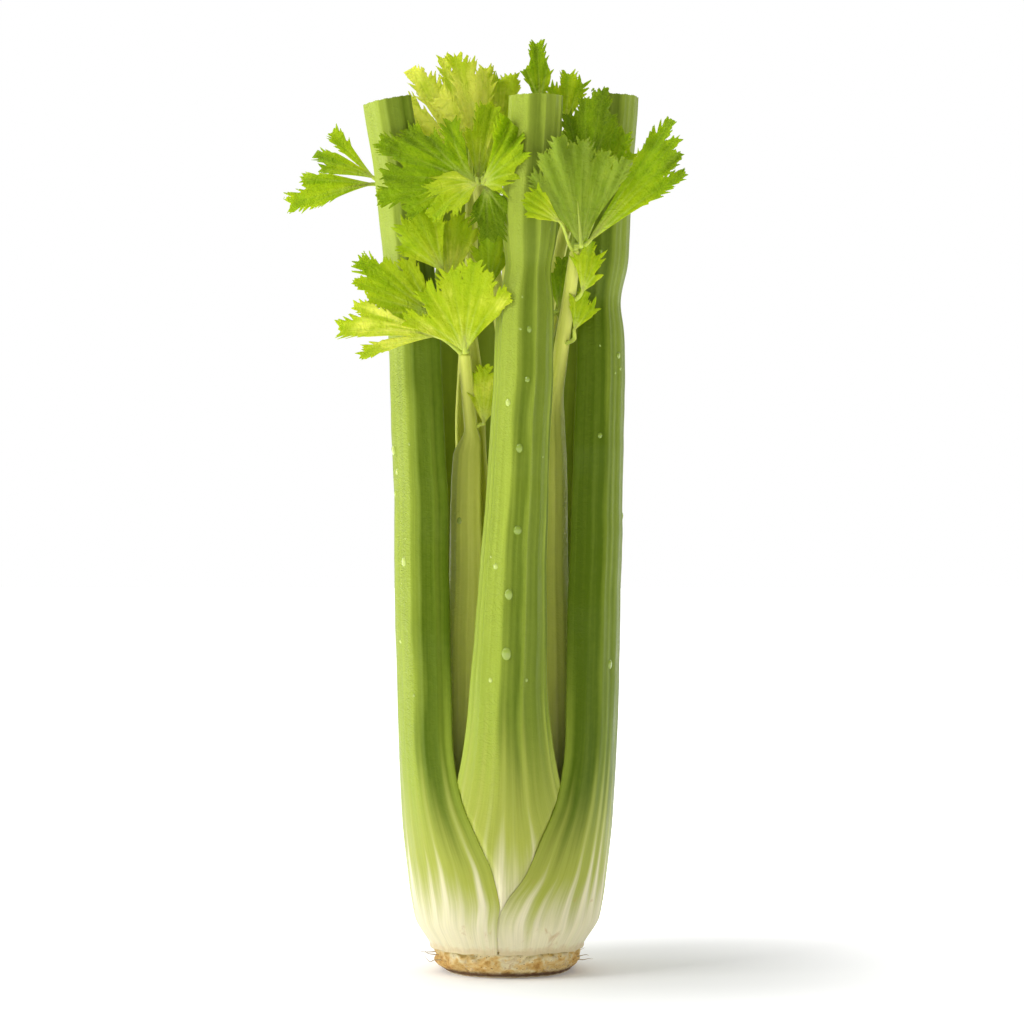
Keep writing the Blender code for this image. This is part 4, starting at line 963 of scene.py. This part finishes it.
    blade.append(np.column_stack([np.repeat(t, sides) * 9, np.tile(turn, len(t)), np.full(m, spec["seed"] * 1.3)]))
    veins.append(np.column_stack([np.ones(m) * 0.8, np.zeros(m), np.full(m, 0.3)]))
    tone.append(np.column_stack([np.full(m, spec["tone"]), np.zeros(m), np.full(m, 2.0)]))
    return build_mesh(
        name + "_blade", np.concatenate(verts), [top_faces, bottom_faces, wall, tube_faces, *ends],
        {"blade": np.concatenate(blade), "veins": np.concatenate(veins), "tone": np.concatenate(tone)}, sharp=0,
    )


def leaf_material():
    t = Tree("leaf_tissue")
    blade = t.attribute("blade")
    bx, by, seed = t.split(blade)
    vein, side_vein, under = t.split(t.attribute("veins"))
    tone, reach, _ = t.split(t.attribute("tone"))
    cloud = t.noise(t.scaled(blade, (0.12, 0.10, 1.0)), 1.0, 3.0, 0.55)
    grain = t.noise(t.scaled(blade, (1.1, 1.1, 1.0)), 1.0, 4.0, 0.6)
    net = t.cells(t.scaled(blade, (1.25, 1.25, 1.0)), 1.0, "DISTANCE_TO_EDGE")
    # Fine veins that fan out from the stem.
    turn = t.math("ARCTAN2", bx, t.math("ADD", by, 3.0))
    away = t.math("SQRT", t.math("ADD", t.math("MULTIPLY", bx, bx), t.math("MULTIPLY", by, by)))
    fan = t.noise(t.join(t.math("MULTIPLY", turn, 9.0), t.math("MULTIPLY", away, 0.035), seed), 1.0, 3.0, 0.65)
    thin = t.noise(t.join(t.math("MULTIPLY", turn, 26.0), t.math("MULTIPLY", away, 0.06), seed), 1.0, 2.0, 0.5)
    value = t.math("ADD", tone, t.math("MULTIPLY_ADD", cloud, 0.7, -0.35))
    value = t.math("ADD", value, t.math("MULTIPLY_ADD", fan, 0.70, -0.35))
    value = t.math("ADD", value, t.math("MULTIPLY_ADD", thin, 0.24, -0.12))
    value = t.math("ADD", value, t.math("MULTIPLY_ADD", grain, 0.16, -0.08))
    value = t.math("SUBTRACT", value, t.math("MULTIPLY", t.span(reach, 0.45, 1.0), 0.22))
    colour = t.ramp(value, [
        (0.0, (0.085, 0.160, 0.0005)), (0.30, (0.205, 0.340, 0.001)), (0.62, (0.360, 0.485, 0.006)), (0.76, (0.445, 0.552, 0.020)), (1.0, (0.800, 0.850, 0.110)),
    ])
    colour = t.mix(t.span(net, 0.0, 0.10, 0.10, 0.0), colour, (0.62, 0.72, 0.04))
    colour = t.mix(t.math("MULTIPLY", side_vein, 0.10), colour, (0.62, 0.74, 0.06))
    colour = t.mix(t.math("MULTIPLY", vein, t.span(reach, 0.10, 0.70, 0.42, 0.06)), colour, (0.66, 0.76, 0.16))
    # The blade is paler where it runs into its stem.
    colour = t.mix(t.span(reach, 0.30, 0.0, 0.0, 0.45), colour, (0.56, 0.66, 0.14))
    # The underside is paler and greyer.
    back = t.mix(t.span(fan, 0.35, 0.65), (0.150, 0.215, 0.016), (0.250, 0.330, 0.045))
    colour = t.mix(t.math("MULTIPLY", t.span(under, 0.4, 1.0), 0.68), colour, back)
    t.link(colour, t.bsdf.inputs["Base Color"])
    puff = t.math("MULTIPLY", t.span(net, 0.0, 0.35), 0.6)
    blister = t.noise(t.scaled(blade, (0.34, 0.34, 1.0)), 1.0, 2.0, 0.5, 0.8)
    normal = t.bump(blister, 0.55, 0.0016)
    normal = t.bump(puff, 0.30, 0.00028, normal)
    normal = t.bump(thin, 0.45, 0.00040, normal)
    normal = t.bump(grain, 0.20, 0.00020, normal)
    t.link(normal, t.bsdf.inputs["Normal"])
    t.link(t.span(grain, 0.3, 0.7, 0.42, 0.58), t.bsdf.inputs["Roughness"])
    b = t.bsdf.inputs
    b["Specular IOR Level"].default_value = 0.20
    b["Specular Tint"].default_value = (1.0, 1.0, 0.45, 1.0)
    b["Subsurface Weight"].default_value = 0.35
    b["Subsurface Radius"].default_value = (0.8, 1.0, 0.10)
    b["Subsurface Scale"].default_value = 0.0014
    b["IOR"].default_value = 1.40
    return t.mat


# ------------------------------------------------------------ the crown


def build_crown():
    profile = np.array([
        (0.0, 0.55), (8.0, 0.35), (15.0, 0.12), (20.0, 0.0), (22.4, 0.14), (23.6, 0.9), (25.2, 2.2), (26.4, 3.9),
        (27.0, 6.0), (27.0, 8.2), (26.4, 9.8), (25.2, 10.8), (20.0, 11.6), (14.0, 12.4), (7.0, 13.8), (0.0, 14.4),
    ])
    seg = np.hypot(*np.diff(profile, axis=0).T)
    s = np.r_[0, np.cumsum(seg)]
    u = np.concatenate([np.linspace(0, s[3], 22)[:-1], np.linspace(s[3], s[11], 40)[:-1], np.linspace(s[11], s[-1], 10)])
    pr, pz = np.interp(u, s, profile[:, 0]), np.interp(u, s, profile[:, 1])
    count = 300
    ang = np.linspace(0, 2 * math.pi, count, endpoint=False)
    rng = np.random.default_rng(4)
    lumps = [(rng.integers(3, 44), rng.uniform(0, 6.28), rng.uniform(0.3, 2.0), rng.uniform(0, 6.28), rng.uniform(0.3, 1)) for _ in range(34)]
    verts, info = [], []
    for r, z, place in zip(pr, pz, u):
        side = float(smooth(17, 25, r)) * float(1 - smooth(10.2, 11.6, z))
        bump = np.zeros(count)
        for f, ph, fz, pz_, amount in lumps:
            bump += amount * np.sin(f * ang + ph + 0.6 * np.sin(3 * ang)) * math.sin(fz * z + pz_) / (1 + 0.06 * f)
        bump = np.clip(bump / 3.0, -1.2, 1.6)
        flat = 1 - float(smooth(0.0, 1.2, z))
        rr = r - 0.5 * side + side * (1.05 * bump - 0.4 * np.abs(np.sin(5.5 * ang + 0.7)) * (1 - flat))
        zz = z + (0.30 * bump * side * (1 - flat)) + flat * float(r < 19) * 0.10 * (1 + np.sin(4 * ang + r * 0.6) * np.sin(r * 0.9)) * float(r > 1)
        zz = np.maximum(zz, 0.0)
        verts.append(np.column_stack([rr * np.cos(ang), rr * np.sin(ang), zz]))
        info.append(np.column_stack([ang * 26, np.full(count, z), np.full(count, place)]))
    levels = len(verts)
    verts, info = np.concatenate(verts), np.concatenate(info)
    k, i = np.meshgrid(np.arange(levels - 1), np.arange(count), indexing="ij")
    j = (i + 1) % count
    quads = np.stack([k * count + i, k * count + j, (k + 1) * count + j, (k + 1) * count + i], -1).reshape(-1, 4)
    # The first and last rings are points.
    first, last = np.arange(count), (levels - 1) * count + np.arange(count)
    quads = quads.copy()
    merge = np.arange(len(verts))
    merge[first], merge[last] = first[0], last[0]
    quads = merge[quads]
    tri_low = quads[:count][:, [0, 2, 3]]
    tri_high = quads[-count:][:, [0, 1, 2]]
    body = quads[count:-count]
    faces = [tri_low, tri_high, body]
    used = np.unique(np.concatenate([f.ravel() for f in faces]))
    remap = np.zeros(len(verts), int)
    remap[used] = np.arange(len(used))
    faces = [remap[f] for f in faces]
    return build_mesh("root_crown_skin", verts[used], faces, {"ring": info[used]}, sharp=0)


def crown_material():
    t = Tree("crown_cork")
    coord = t.node("ShaderNodeTexCoord").outputs["Object"]
    p = t.scaled(coord, (1000.0, 1000.0, 1000.0))
    x, y, z = t.split(p)
    big = t.noise(t.scaled(p, (0.13, 0.13, 0.20)), 1.0, 3.0, 0.6, 0.8)
    mid = t.noise(t.scaled(p, (0.36, 0.36, 0.55)), 1.0, 4.0, 0.6, 0.5)
    fine = t.noise(t.scaled(p, (1.5, 1.5, 1.5)), 1.0, 5.0, 0.65)
    ends = t.math("ABSOLUTE", t.math("DIVIDE", x, 27.0))
    shade = t.math("ADD", t.math("MULTIPLY", big, 0.55), t.math("MULTIPLY", mid, 0.45))
    shade = t.math("SUBTRACT", shade, t.math("MULTIPLY", t.span(ends, 0.5, 1.0), 0.06))
    shade = t.math("ADD", shade, t.span(z, 3.0, 9.0, -0.04, 0.05))
    colour = t.ramp(shade, [
        (0.31, (0.46, 0.22, 0.040)), (0.40, (0.68, 0.42, 0.11)), (0.48, (0.80, 0.60, 0.25)), (0.56, (0.86, 0.76, 0.46)), (1.0, (0.88, 0.82, 0.58)),
    ])
    low = t.span(z, 8.5, 0.5, 0.0, 1.0)
    patch = t.math("MULTIPLY", t.span(mid, 0.53, 0.66), t.math("MULTIPLY_ADD", low, 0.55, 0.20))
    colour = t.mix(patch, colour, (0.46, 0.21, 0.04))
    pits = t.cells(t.scaled(p, (0.75, 0.75, 0.95)), 1.0)
    speck = t.math("MULTIPLY", t.span(pits, 0.26, 0.10), t.span(t.noise(t.scaled(p, (0.20, 0.20, 0.3)), 1.0, 2.0), 0.42, 0.56))
    colour = t.mix(t.math("MULTIPLY", speck, 0.9), colour, (0.16, 0.050, 0.008))
    colour = t.mix(t.span(fine, 0.35, 0.70, 0.0, 0.16), colour, (0.44, 0.25, 0.08))
    # Painted shade: the lowest few millimetres of the crown are painted near-black brown as the contact shadow under
    # the base.
    painted_contact_shadow = t.span(t.math("ADD", z, t.math("MULTIPLY_ADD", mid, 2.0, -1.0)), 2.9, 1.3)
    colour = t.mix(t.math("MULTIPLY", painted_contact_shadow, 0.92), colour, (0.09, 0.030, 0.006))
    # The flat cut underneath: pale flesh with a ring of vessel ends.
    radius = t.math("SQRT", t.math("ADD", t.math("MULTIPLY", x, x), t.math("MULTIPLY", y, y)))
    under = t.math("MULTIPLY", t.span(z, 0.9, 0.3), t.span(radius, 24.0, 22.0))
    rings = t.math("SINE", t.math("ADD", t.math("MULTIPLY", radius, 0.85), t.math("MULTIPLY", mid, 5.0)))
    flesh = t.mix(t.span(rings, -0.6, 1.0), (0.66, 0.50, 0.27), (0.80, 0.70, 0.46))
    flesh = t.mix(t.span(fine, 0.35, 0.7, 0.0, 0.45), flesh, (0.46, 0.28, 0.11))
    colour = t.mix(under, colour, flesh)
    t.link(colour, t.bsdf.inputs["Base Color"])
    normal = t.bump(mid, 0.6, 0.0009)
    normal = t.bump(fine, 0.55, 0.0004, normal)
    t.link(normal, t.bsdf.inputs["Normal"])
    t.link(t.span(fine, 0.3, 0.7, 0.62, 0.85), t.bsdf.inputs["Roughness"])
    b = t.bsdf.inputs
    b["Subsurface Weight"].default_value = 0.12
    b["Subsurface Radius"].default_value = (1.0, 0.7, 0.35)
    b["Subsurface Scale"].default_value = 0.0015
    return t.mat


def thread(points, r0, r1, sides=6, steps=16):
    """A tapering thread through a few points, in millimetres."""
    points = np.array(points, float)
    t = np.linspace(0, 1, steps)
    k = np.linspace(0, 1, len(points))
    path = hermite(t, [(a, *p) for a, p in zip(k, points)])
    ahead = np.gradient(path, axis=0)
    ahead /= np.linalg.norm(ahead, axis=1)[:, None]
    ref = np.array([0.13, 0.21, 1.0])
    right = np.cross(ahead, ref)
    right /= np.linalg.norm(right, axis=1)[:, None]
    over = np.cross(right, ahead)
    turn = np.linspace(0, 2 * math.pi, sides, endpoint=False)
    radius = np.linspace(r0, r1, steps)
    verts = (path[:, None] + right[:, None] * np.cos(turn)[None, :, None] * radius[:, None, None] + over[:, None] * np.sin(turn)[None, :, None] * radius[:, None, None]).reshape(-1, 3)
    a, i = np.meshgrid(np.arange(steps - 1), np.arange(sides), indexing="ij")
    j = (i + 1) % sides
    quads = np.stack([a * sides + i, a * sides + j, (a + 1) * sides + j, (a + 1) * sides + i], -1).reshape(-1, 4)
    caps = [np.array([np.arange(sides)[::-1]]), np.array([np.arange(sides) + (steps - 1) * sides])]
    return verts, quads, caps


def build_root_hairs():
    rng = np.random.default_rng(9)
    verts, quads, caps = [], [], []
    places = [(197, 6.5), (203, 5.0), (188, 7.2), (341, 5.6), (348, 4.6), (328, 3.2), (25, 5.5), (75, 4.0), (110, 6.4), (150, 5.2), (238, 2.6), (300, 3.0)]
    count = 0
    for deg, z in places:
        a = math.radians(deg)
        long = rng.uniform(2.2, 6.0)
        out = np.array([math.cos(a), math.sin(a), 0])
        side = np.array([-math.sin(a), math.cos(a), 0])
        p0 = out * 25.8 + np.array([0, 0, z])
        p1 = p0 + out * long * 0.4 + side * rng.uniform(-0.6, 0.6) + np.array([0, 0, rng.uniform(-0.5, 0.7)])
        p2 = p0 + out * long * 0.75 + side * rng.uniform(-1.6, 1.6) + np.array([0, 0, rng.uniform(-0.6, 1.2)])
        p3 = p0 + out * long + side * rng.uniform(-2.2, 2.2) + np.array([0, 0, rng.uniform(-0.4, 2.0)])
        v, q, c = thread([p0, p1, p2, p3], 0.24, 0.05)
        verts.append(v)
        quads.append(q + count)
        caps += [k + count for k in c]
        count += len(v)
    return build_mesh("root_hairs", np.concatenate(verts), [np.concatenate(quads), *caps], {}, sharp=0)


def hair_material():
    t = Tree("root_hair")
    coord = t.node("ShaderNodeTexCoord").outputs["Object"]
    n = t.noise(t.scaled(coord, (900.0, 900.0, 900.0)), 1.0, 3.0)
    t.link(t.ramp(n, [(0.3, (0.30, 0.20, 0.10)), (0.7, (0.62, 0.50, 0.32))]), t.bsdf.inputs["Base Color"])
    t.bsdf.inputs["Roughness"].default_value = 0.7
    return t.mat


# ------------------------------------------------------------ drops of water


def build_drops():
    """Flattened drops that sit on the outer sides of the stalks."""
    rng = np.random.default_rng(31)
    wanted = [
        ("stalk_outer_left", -0.10, 190, 1.5), ("stalk_outer_left", 0.02, 181, 1.0), ("stalk_outer_left", -0.12, 174, 0.8),
        ("stalk_outer_left", 0.20, 149, 1.3), ("stalk_outer_left", -0.42, 141, 0.9), ("stalk_outer_left", 0.05, 121, 0.8),
        ("stalk_outer_front", 0.12, 231, 0.9), ("stalk_outer_front", 0.10, 214, 0.9), ("stalk_outer_front", -0.02, 190, 1.3),
        ("stalk_outer_front", 0.03, 160, 1.5), ("stalk_outer_front", -0.08, 138, 1.4), ("stalk_outer_front", -0.10, 117, 1.7),
        ("stalk_outer_front", -0.38, 205, 1.0), ("stalk_outer_front", -0.42, 148, 1.0), ("stalk_outer_front", -0.40, 107, 0.8),
        ("stalk_outer_right", -0.55, 194, 0.9), ("stalk_outer_right", -0.15, 223, 1.0), ("stalk_outer_right", -0.20, 113, 1.3),
        ("stalk_middle_left", 0.25, 163, 1.0), ("stalk_outer_back_left", 0.1, 200, 1.2), ("stalk_outer_back_left", -0.3, 150, 1.4),
        ("stalk_outer_back_right", 0.2, 180, 1.3), ("stalk_outer_back_right", -0.2, 230, 1.0), ("stalk_outer_right", 0.35, 165, 1.2),
    ]
    for _ in range(46):
        name = ["stalk_outer_left", "stalk_outer_front", "stalk_outer_right", "stalk_outer_back_left", "stalk_outer_back_right"][rng.integers(5)]
        wanted.append((name, rng.uniform(-0.7, 0.7), rng.uniform(95, 290), rng.uniform(0.25, 0.6)))
    rings, sides = 9, 18
    verts, faces, tint, count = [], [], [], 0
    for name, share, z, r in wanted:
        zs, points, normals, shares = SURFACE[name]
        k = int(np.argmin(np.abs(zs - z)))
        i = int(np.argmin(np.abs(shares - share)))
        p, n = points[k, i], normals[k, i]
        p = p - n * r * 0.16
        up = np.array([0, 0, 1.0])
        right = np.cross(up, n)
        long = rng.uniform(1.05, 1.45)
        v = []
        for a in np.linspace(0, math.pi, rings + 2)[1:-1]:
            for b in np.linspace(0, 2 * math.pi, sides, endpoint=False):
                h = math.cos(a)
                s = math.sin(a)
                sag = 1 + 0.22 * (-math.sin(b)) * s
                v.append(p + n * h * r * 0.62 + (right * math.cos(b) + up * math.sin(b) * long) * s * r * sag)
        v = np.array(v + [p + n * r * 0.62, p - n * r * 0.62])
        tint.append(np.full(len(v), np.interp(share, [a for a, _ in PALE_AND_LIT[name]], [b for _, b in PALE_AND_LIT[name]]) if name in PALE_AND_LIT else 0.8))
        q = []
        for m in range(rings - 1):
            for s in range(sides):
                e = (s + 1) % sides
                q.append((m * sides + s, (m + 1) * sides + s, (m + 1) * sides + e, m * sides + e))
        tri = []
        top_i, low_i = rings * sides, rings * sides + 1
        for s in range(sides):
            e = (s + 1) % sides
            tri.append((top_i, s, e))
            tri.append((low_i, (rings - 1) * sides + e, (rings - 1) * sides + s))
        verts.append(v)
        faces.append((np.array(q) + count, np.array(tri) + count))
        count += len(v)
    return build_mesh("water_drops", np.concatenate(verts), [np.concatenate([f[0] for f in faces]), np.concatenate([f[1] for f in faces])], {"pale_lit_band": np.concatenate(tint)}, sharp=0)


def water_material():
    """Water over green skin: a painted deeper green in the middle for the skin seen through, paler where the stalk's
    bands are painted lit, a painted lit rim, a sharp highlight.
    """
    t = Tree("water")
    b = t.bsdf.inputs
    face = t.node("ShaderNodeLayerWeight")
    face.inputs["Blend"].default_value = 0.35
    coord = t.node("ShaderNodeTexCoord").outputs["Object"]
    n = t.noise(t.scaled(coord, (300.0, 300.0, 300.0)), 1.0, 2.0)
    middle = t.mix(t.attribute("pale_lit_band", "Fac"), (0.19, 0.29, 0.012), (0.50, 0.61, 0.12))
    rim = t.mix(t.span(n, 0.3, 0.7, 0.35, 0.6), middle, (0.74, 0.84, 0.42))
    t.link(t.mix(t.span(face.outputs["Facing"], 0.30, 0.85), middle, rim), b["Base Color"])
    t.link(t.span(n, 0.3, 0.7, 0.03, 0.07), b["Roughness"])
    b["IOR"].default_value = 1.33
    b["Coat Weight"].default_value = 0.8
    b["Coat Roughness"].default_value = 0.02
    b["Subsurface Weight"].default_value = 0.3
    b["Subsurface Radius"].default_value = (1.0, 1.0, 0.5)
    b["Subsurface Scale"].default_value = 0.0015
    return t.mat


# ------------------------------------------------------------ putting it together

leaf_mat = leaf_material()
for name, obj in build_stalks():
    s = STALKS[name]
    outer = s["cut"]
    mat = stalk_material(name + "_skin", s["fade"], s["seed"], OUTER_COLOURS if outer else INNER_COLOURS, 0.40 if outer else 0.42)
    obj.data.materials.append(mat)
    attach(obj, "root")
    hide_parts(name)

for name, spec in LEAVES.items():
    obj = build_leaf(name, spec)
    obj.data.materials.append(leaf_mat)
    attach(obj, "root")
    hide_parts(name)

crown = build_crown()
crown.data.materials.append(crown_material())
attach(crown, "root")
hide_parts("root_crown")
hairs = build_root_hairs()
hairs.data.materials.append(hair_material())
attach(hairs, "root")
drops = build_drops()
drops.data.materials.append(water_material())
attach(drops, "root")

# ------------------------------------------------------------ stage

floor_mesh = bpy.data.meshes.new("floor")
floor_mesh.from_pydata([(-6, -6, 0), (6, -6, 0), (6, 6, 0), (-6, 6, 0)], [], [(0, 1, 2, 3)])
floor = bpy.data.objects.new("floor", floor_mesh)
bpy.context.scene.collection.objects.link(floor)
ft = Tree("floor_card")
fc = ft.node("ShaderNodeTexCoord").outputs["Object"]
fn = ft.noise(fc, 3.0, 2.0)
ft.link(ft.ramp(fn, [(0.0, (0.90, 0.90, 0.895)), (1.0, (0.92, 0.92, 0.915))]), ft.bsdf.inputs["Base Color"])
ft.bsdf.inputs["Roughness"].default_value = 0.85
# Painted light: the card glows, least near a point under the crown's cast shadow and almost full white farther out,
# which keeps the floor white and cuts the cast shadow short.
fl = ft.node("ShaderNodeVectorMath", operation="LENGTH")
fa = ft.node("ShaderNodeVectorMath", operation="SUBTRACT")
ft.link(fc, fa.inputs[0])
fa.inputs[1].default_value = (0.05, 0.0, 0.0)
ft.link(fa.outputs["Vector"], fl.inputs[0])
ft.bsdf.inputs["Emission Color"].default_value = (1, 1, 1, 1)
ft.link(ft.span(fl.outputs["Value"], 0.02, 0.25, 0.08, 0.95), ft.bsdf.inputs["Emission Strength"])
floor_mesh.materials.append(ft.mat)


def area(name, location, target, size, energy, colour=(1, 1, 1)):
    data = bpy.data.lights.new(name, "AREA")
    data.shape = "RECTANGLE"
    data.size, data.size_y = size
    data.energy = energy
    data.color = colour
    obj = bpy.data.objects.new(name, data)
    bpy.context.scene.collection.objects.link(obj)
    obj.location = location
    obj.rotation_euler = (Vector(target) - Vector(location)).to_track_quat("-Z", "Y").to_euler()
    return obj


area("key", (-1.0, -0.62, 1.15), (0, 0, 0.15), (0.6, 0.6), 9.5)
area("side", (-1.1, 0.15, 0.30), (0, 0, 0.18), (0.5, 0.9), 3.8)
area("top", (-0.1, 0.25, 1.5), (0, 0, 0.1), (1.4, 1.4), 7.5)
area("rim", (0.95, 0.55, 0.5), (0, 0, 0.2), (0.5, 0.9), 2.0)

world = bpy.data.worlds.new("studio")
bpy.context.scene.world = world
world.use_nodes = True
wt = world.node_tree
bg = wt.nodes["Background"]
bg.inputs[0].default_value = (1, 1, 1, 1)
path = wt.nodes.new("ShaderNodeLightPath")
pick = wt.nodes.new("ShaderNodeMapRange")
pick.inputs["To Min"].default_value = 0.375
pick.inputs["To Max"].default_value = 1.0
wt.links.new(path.outputs["Is Camera Ray"], pick.inputs["Value"])
wt.links.new(pick.outputs["Result"], bg.inputs[1])

cam = bpy.data.cameras.new("camera")
cam.lens = 116.0
cam.sensor_width = 36
camera = bpy.data.objects.new("camera", cam)
bpy.context.scene.collection.objects.link(camera)
camera.location = (0.0018, -1.2, 0.1665)
camera.rotation_euler = (math.pi / 2, 0, 0)
bpy.context.scene.camera = camera
bpy.context.scene.view_settings.view_transform = "Standard"
bpy.context.scene.view_settings.look = "None"
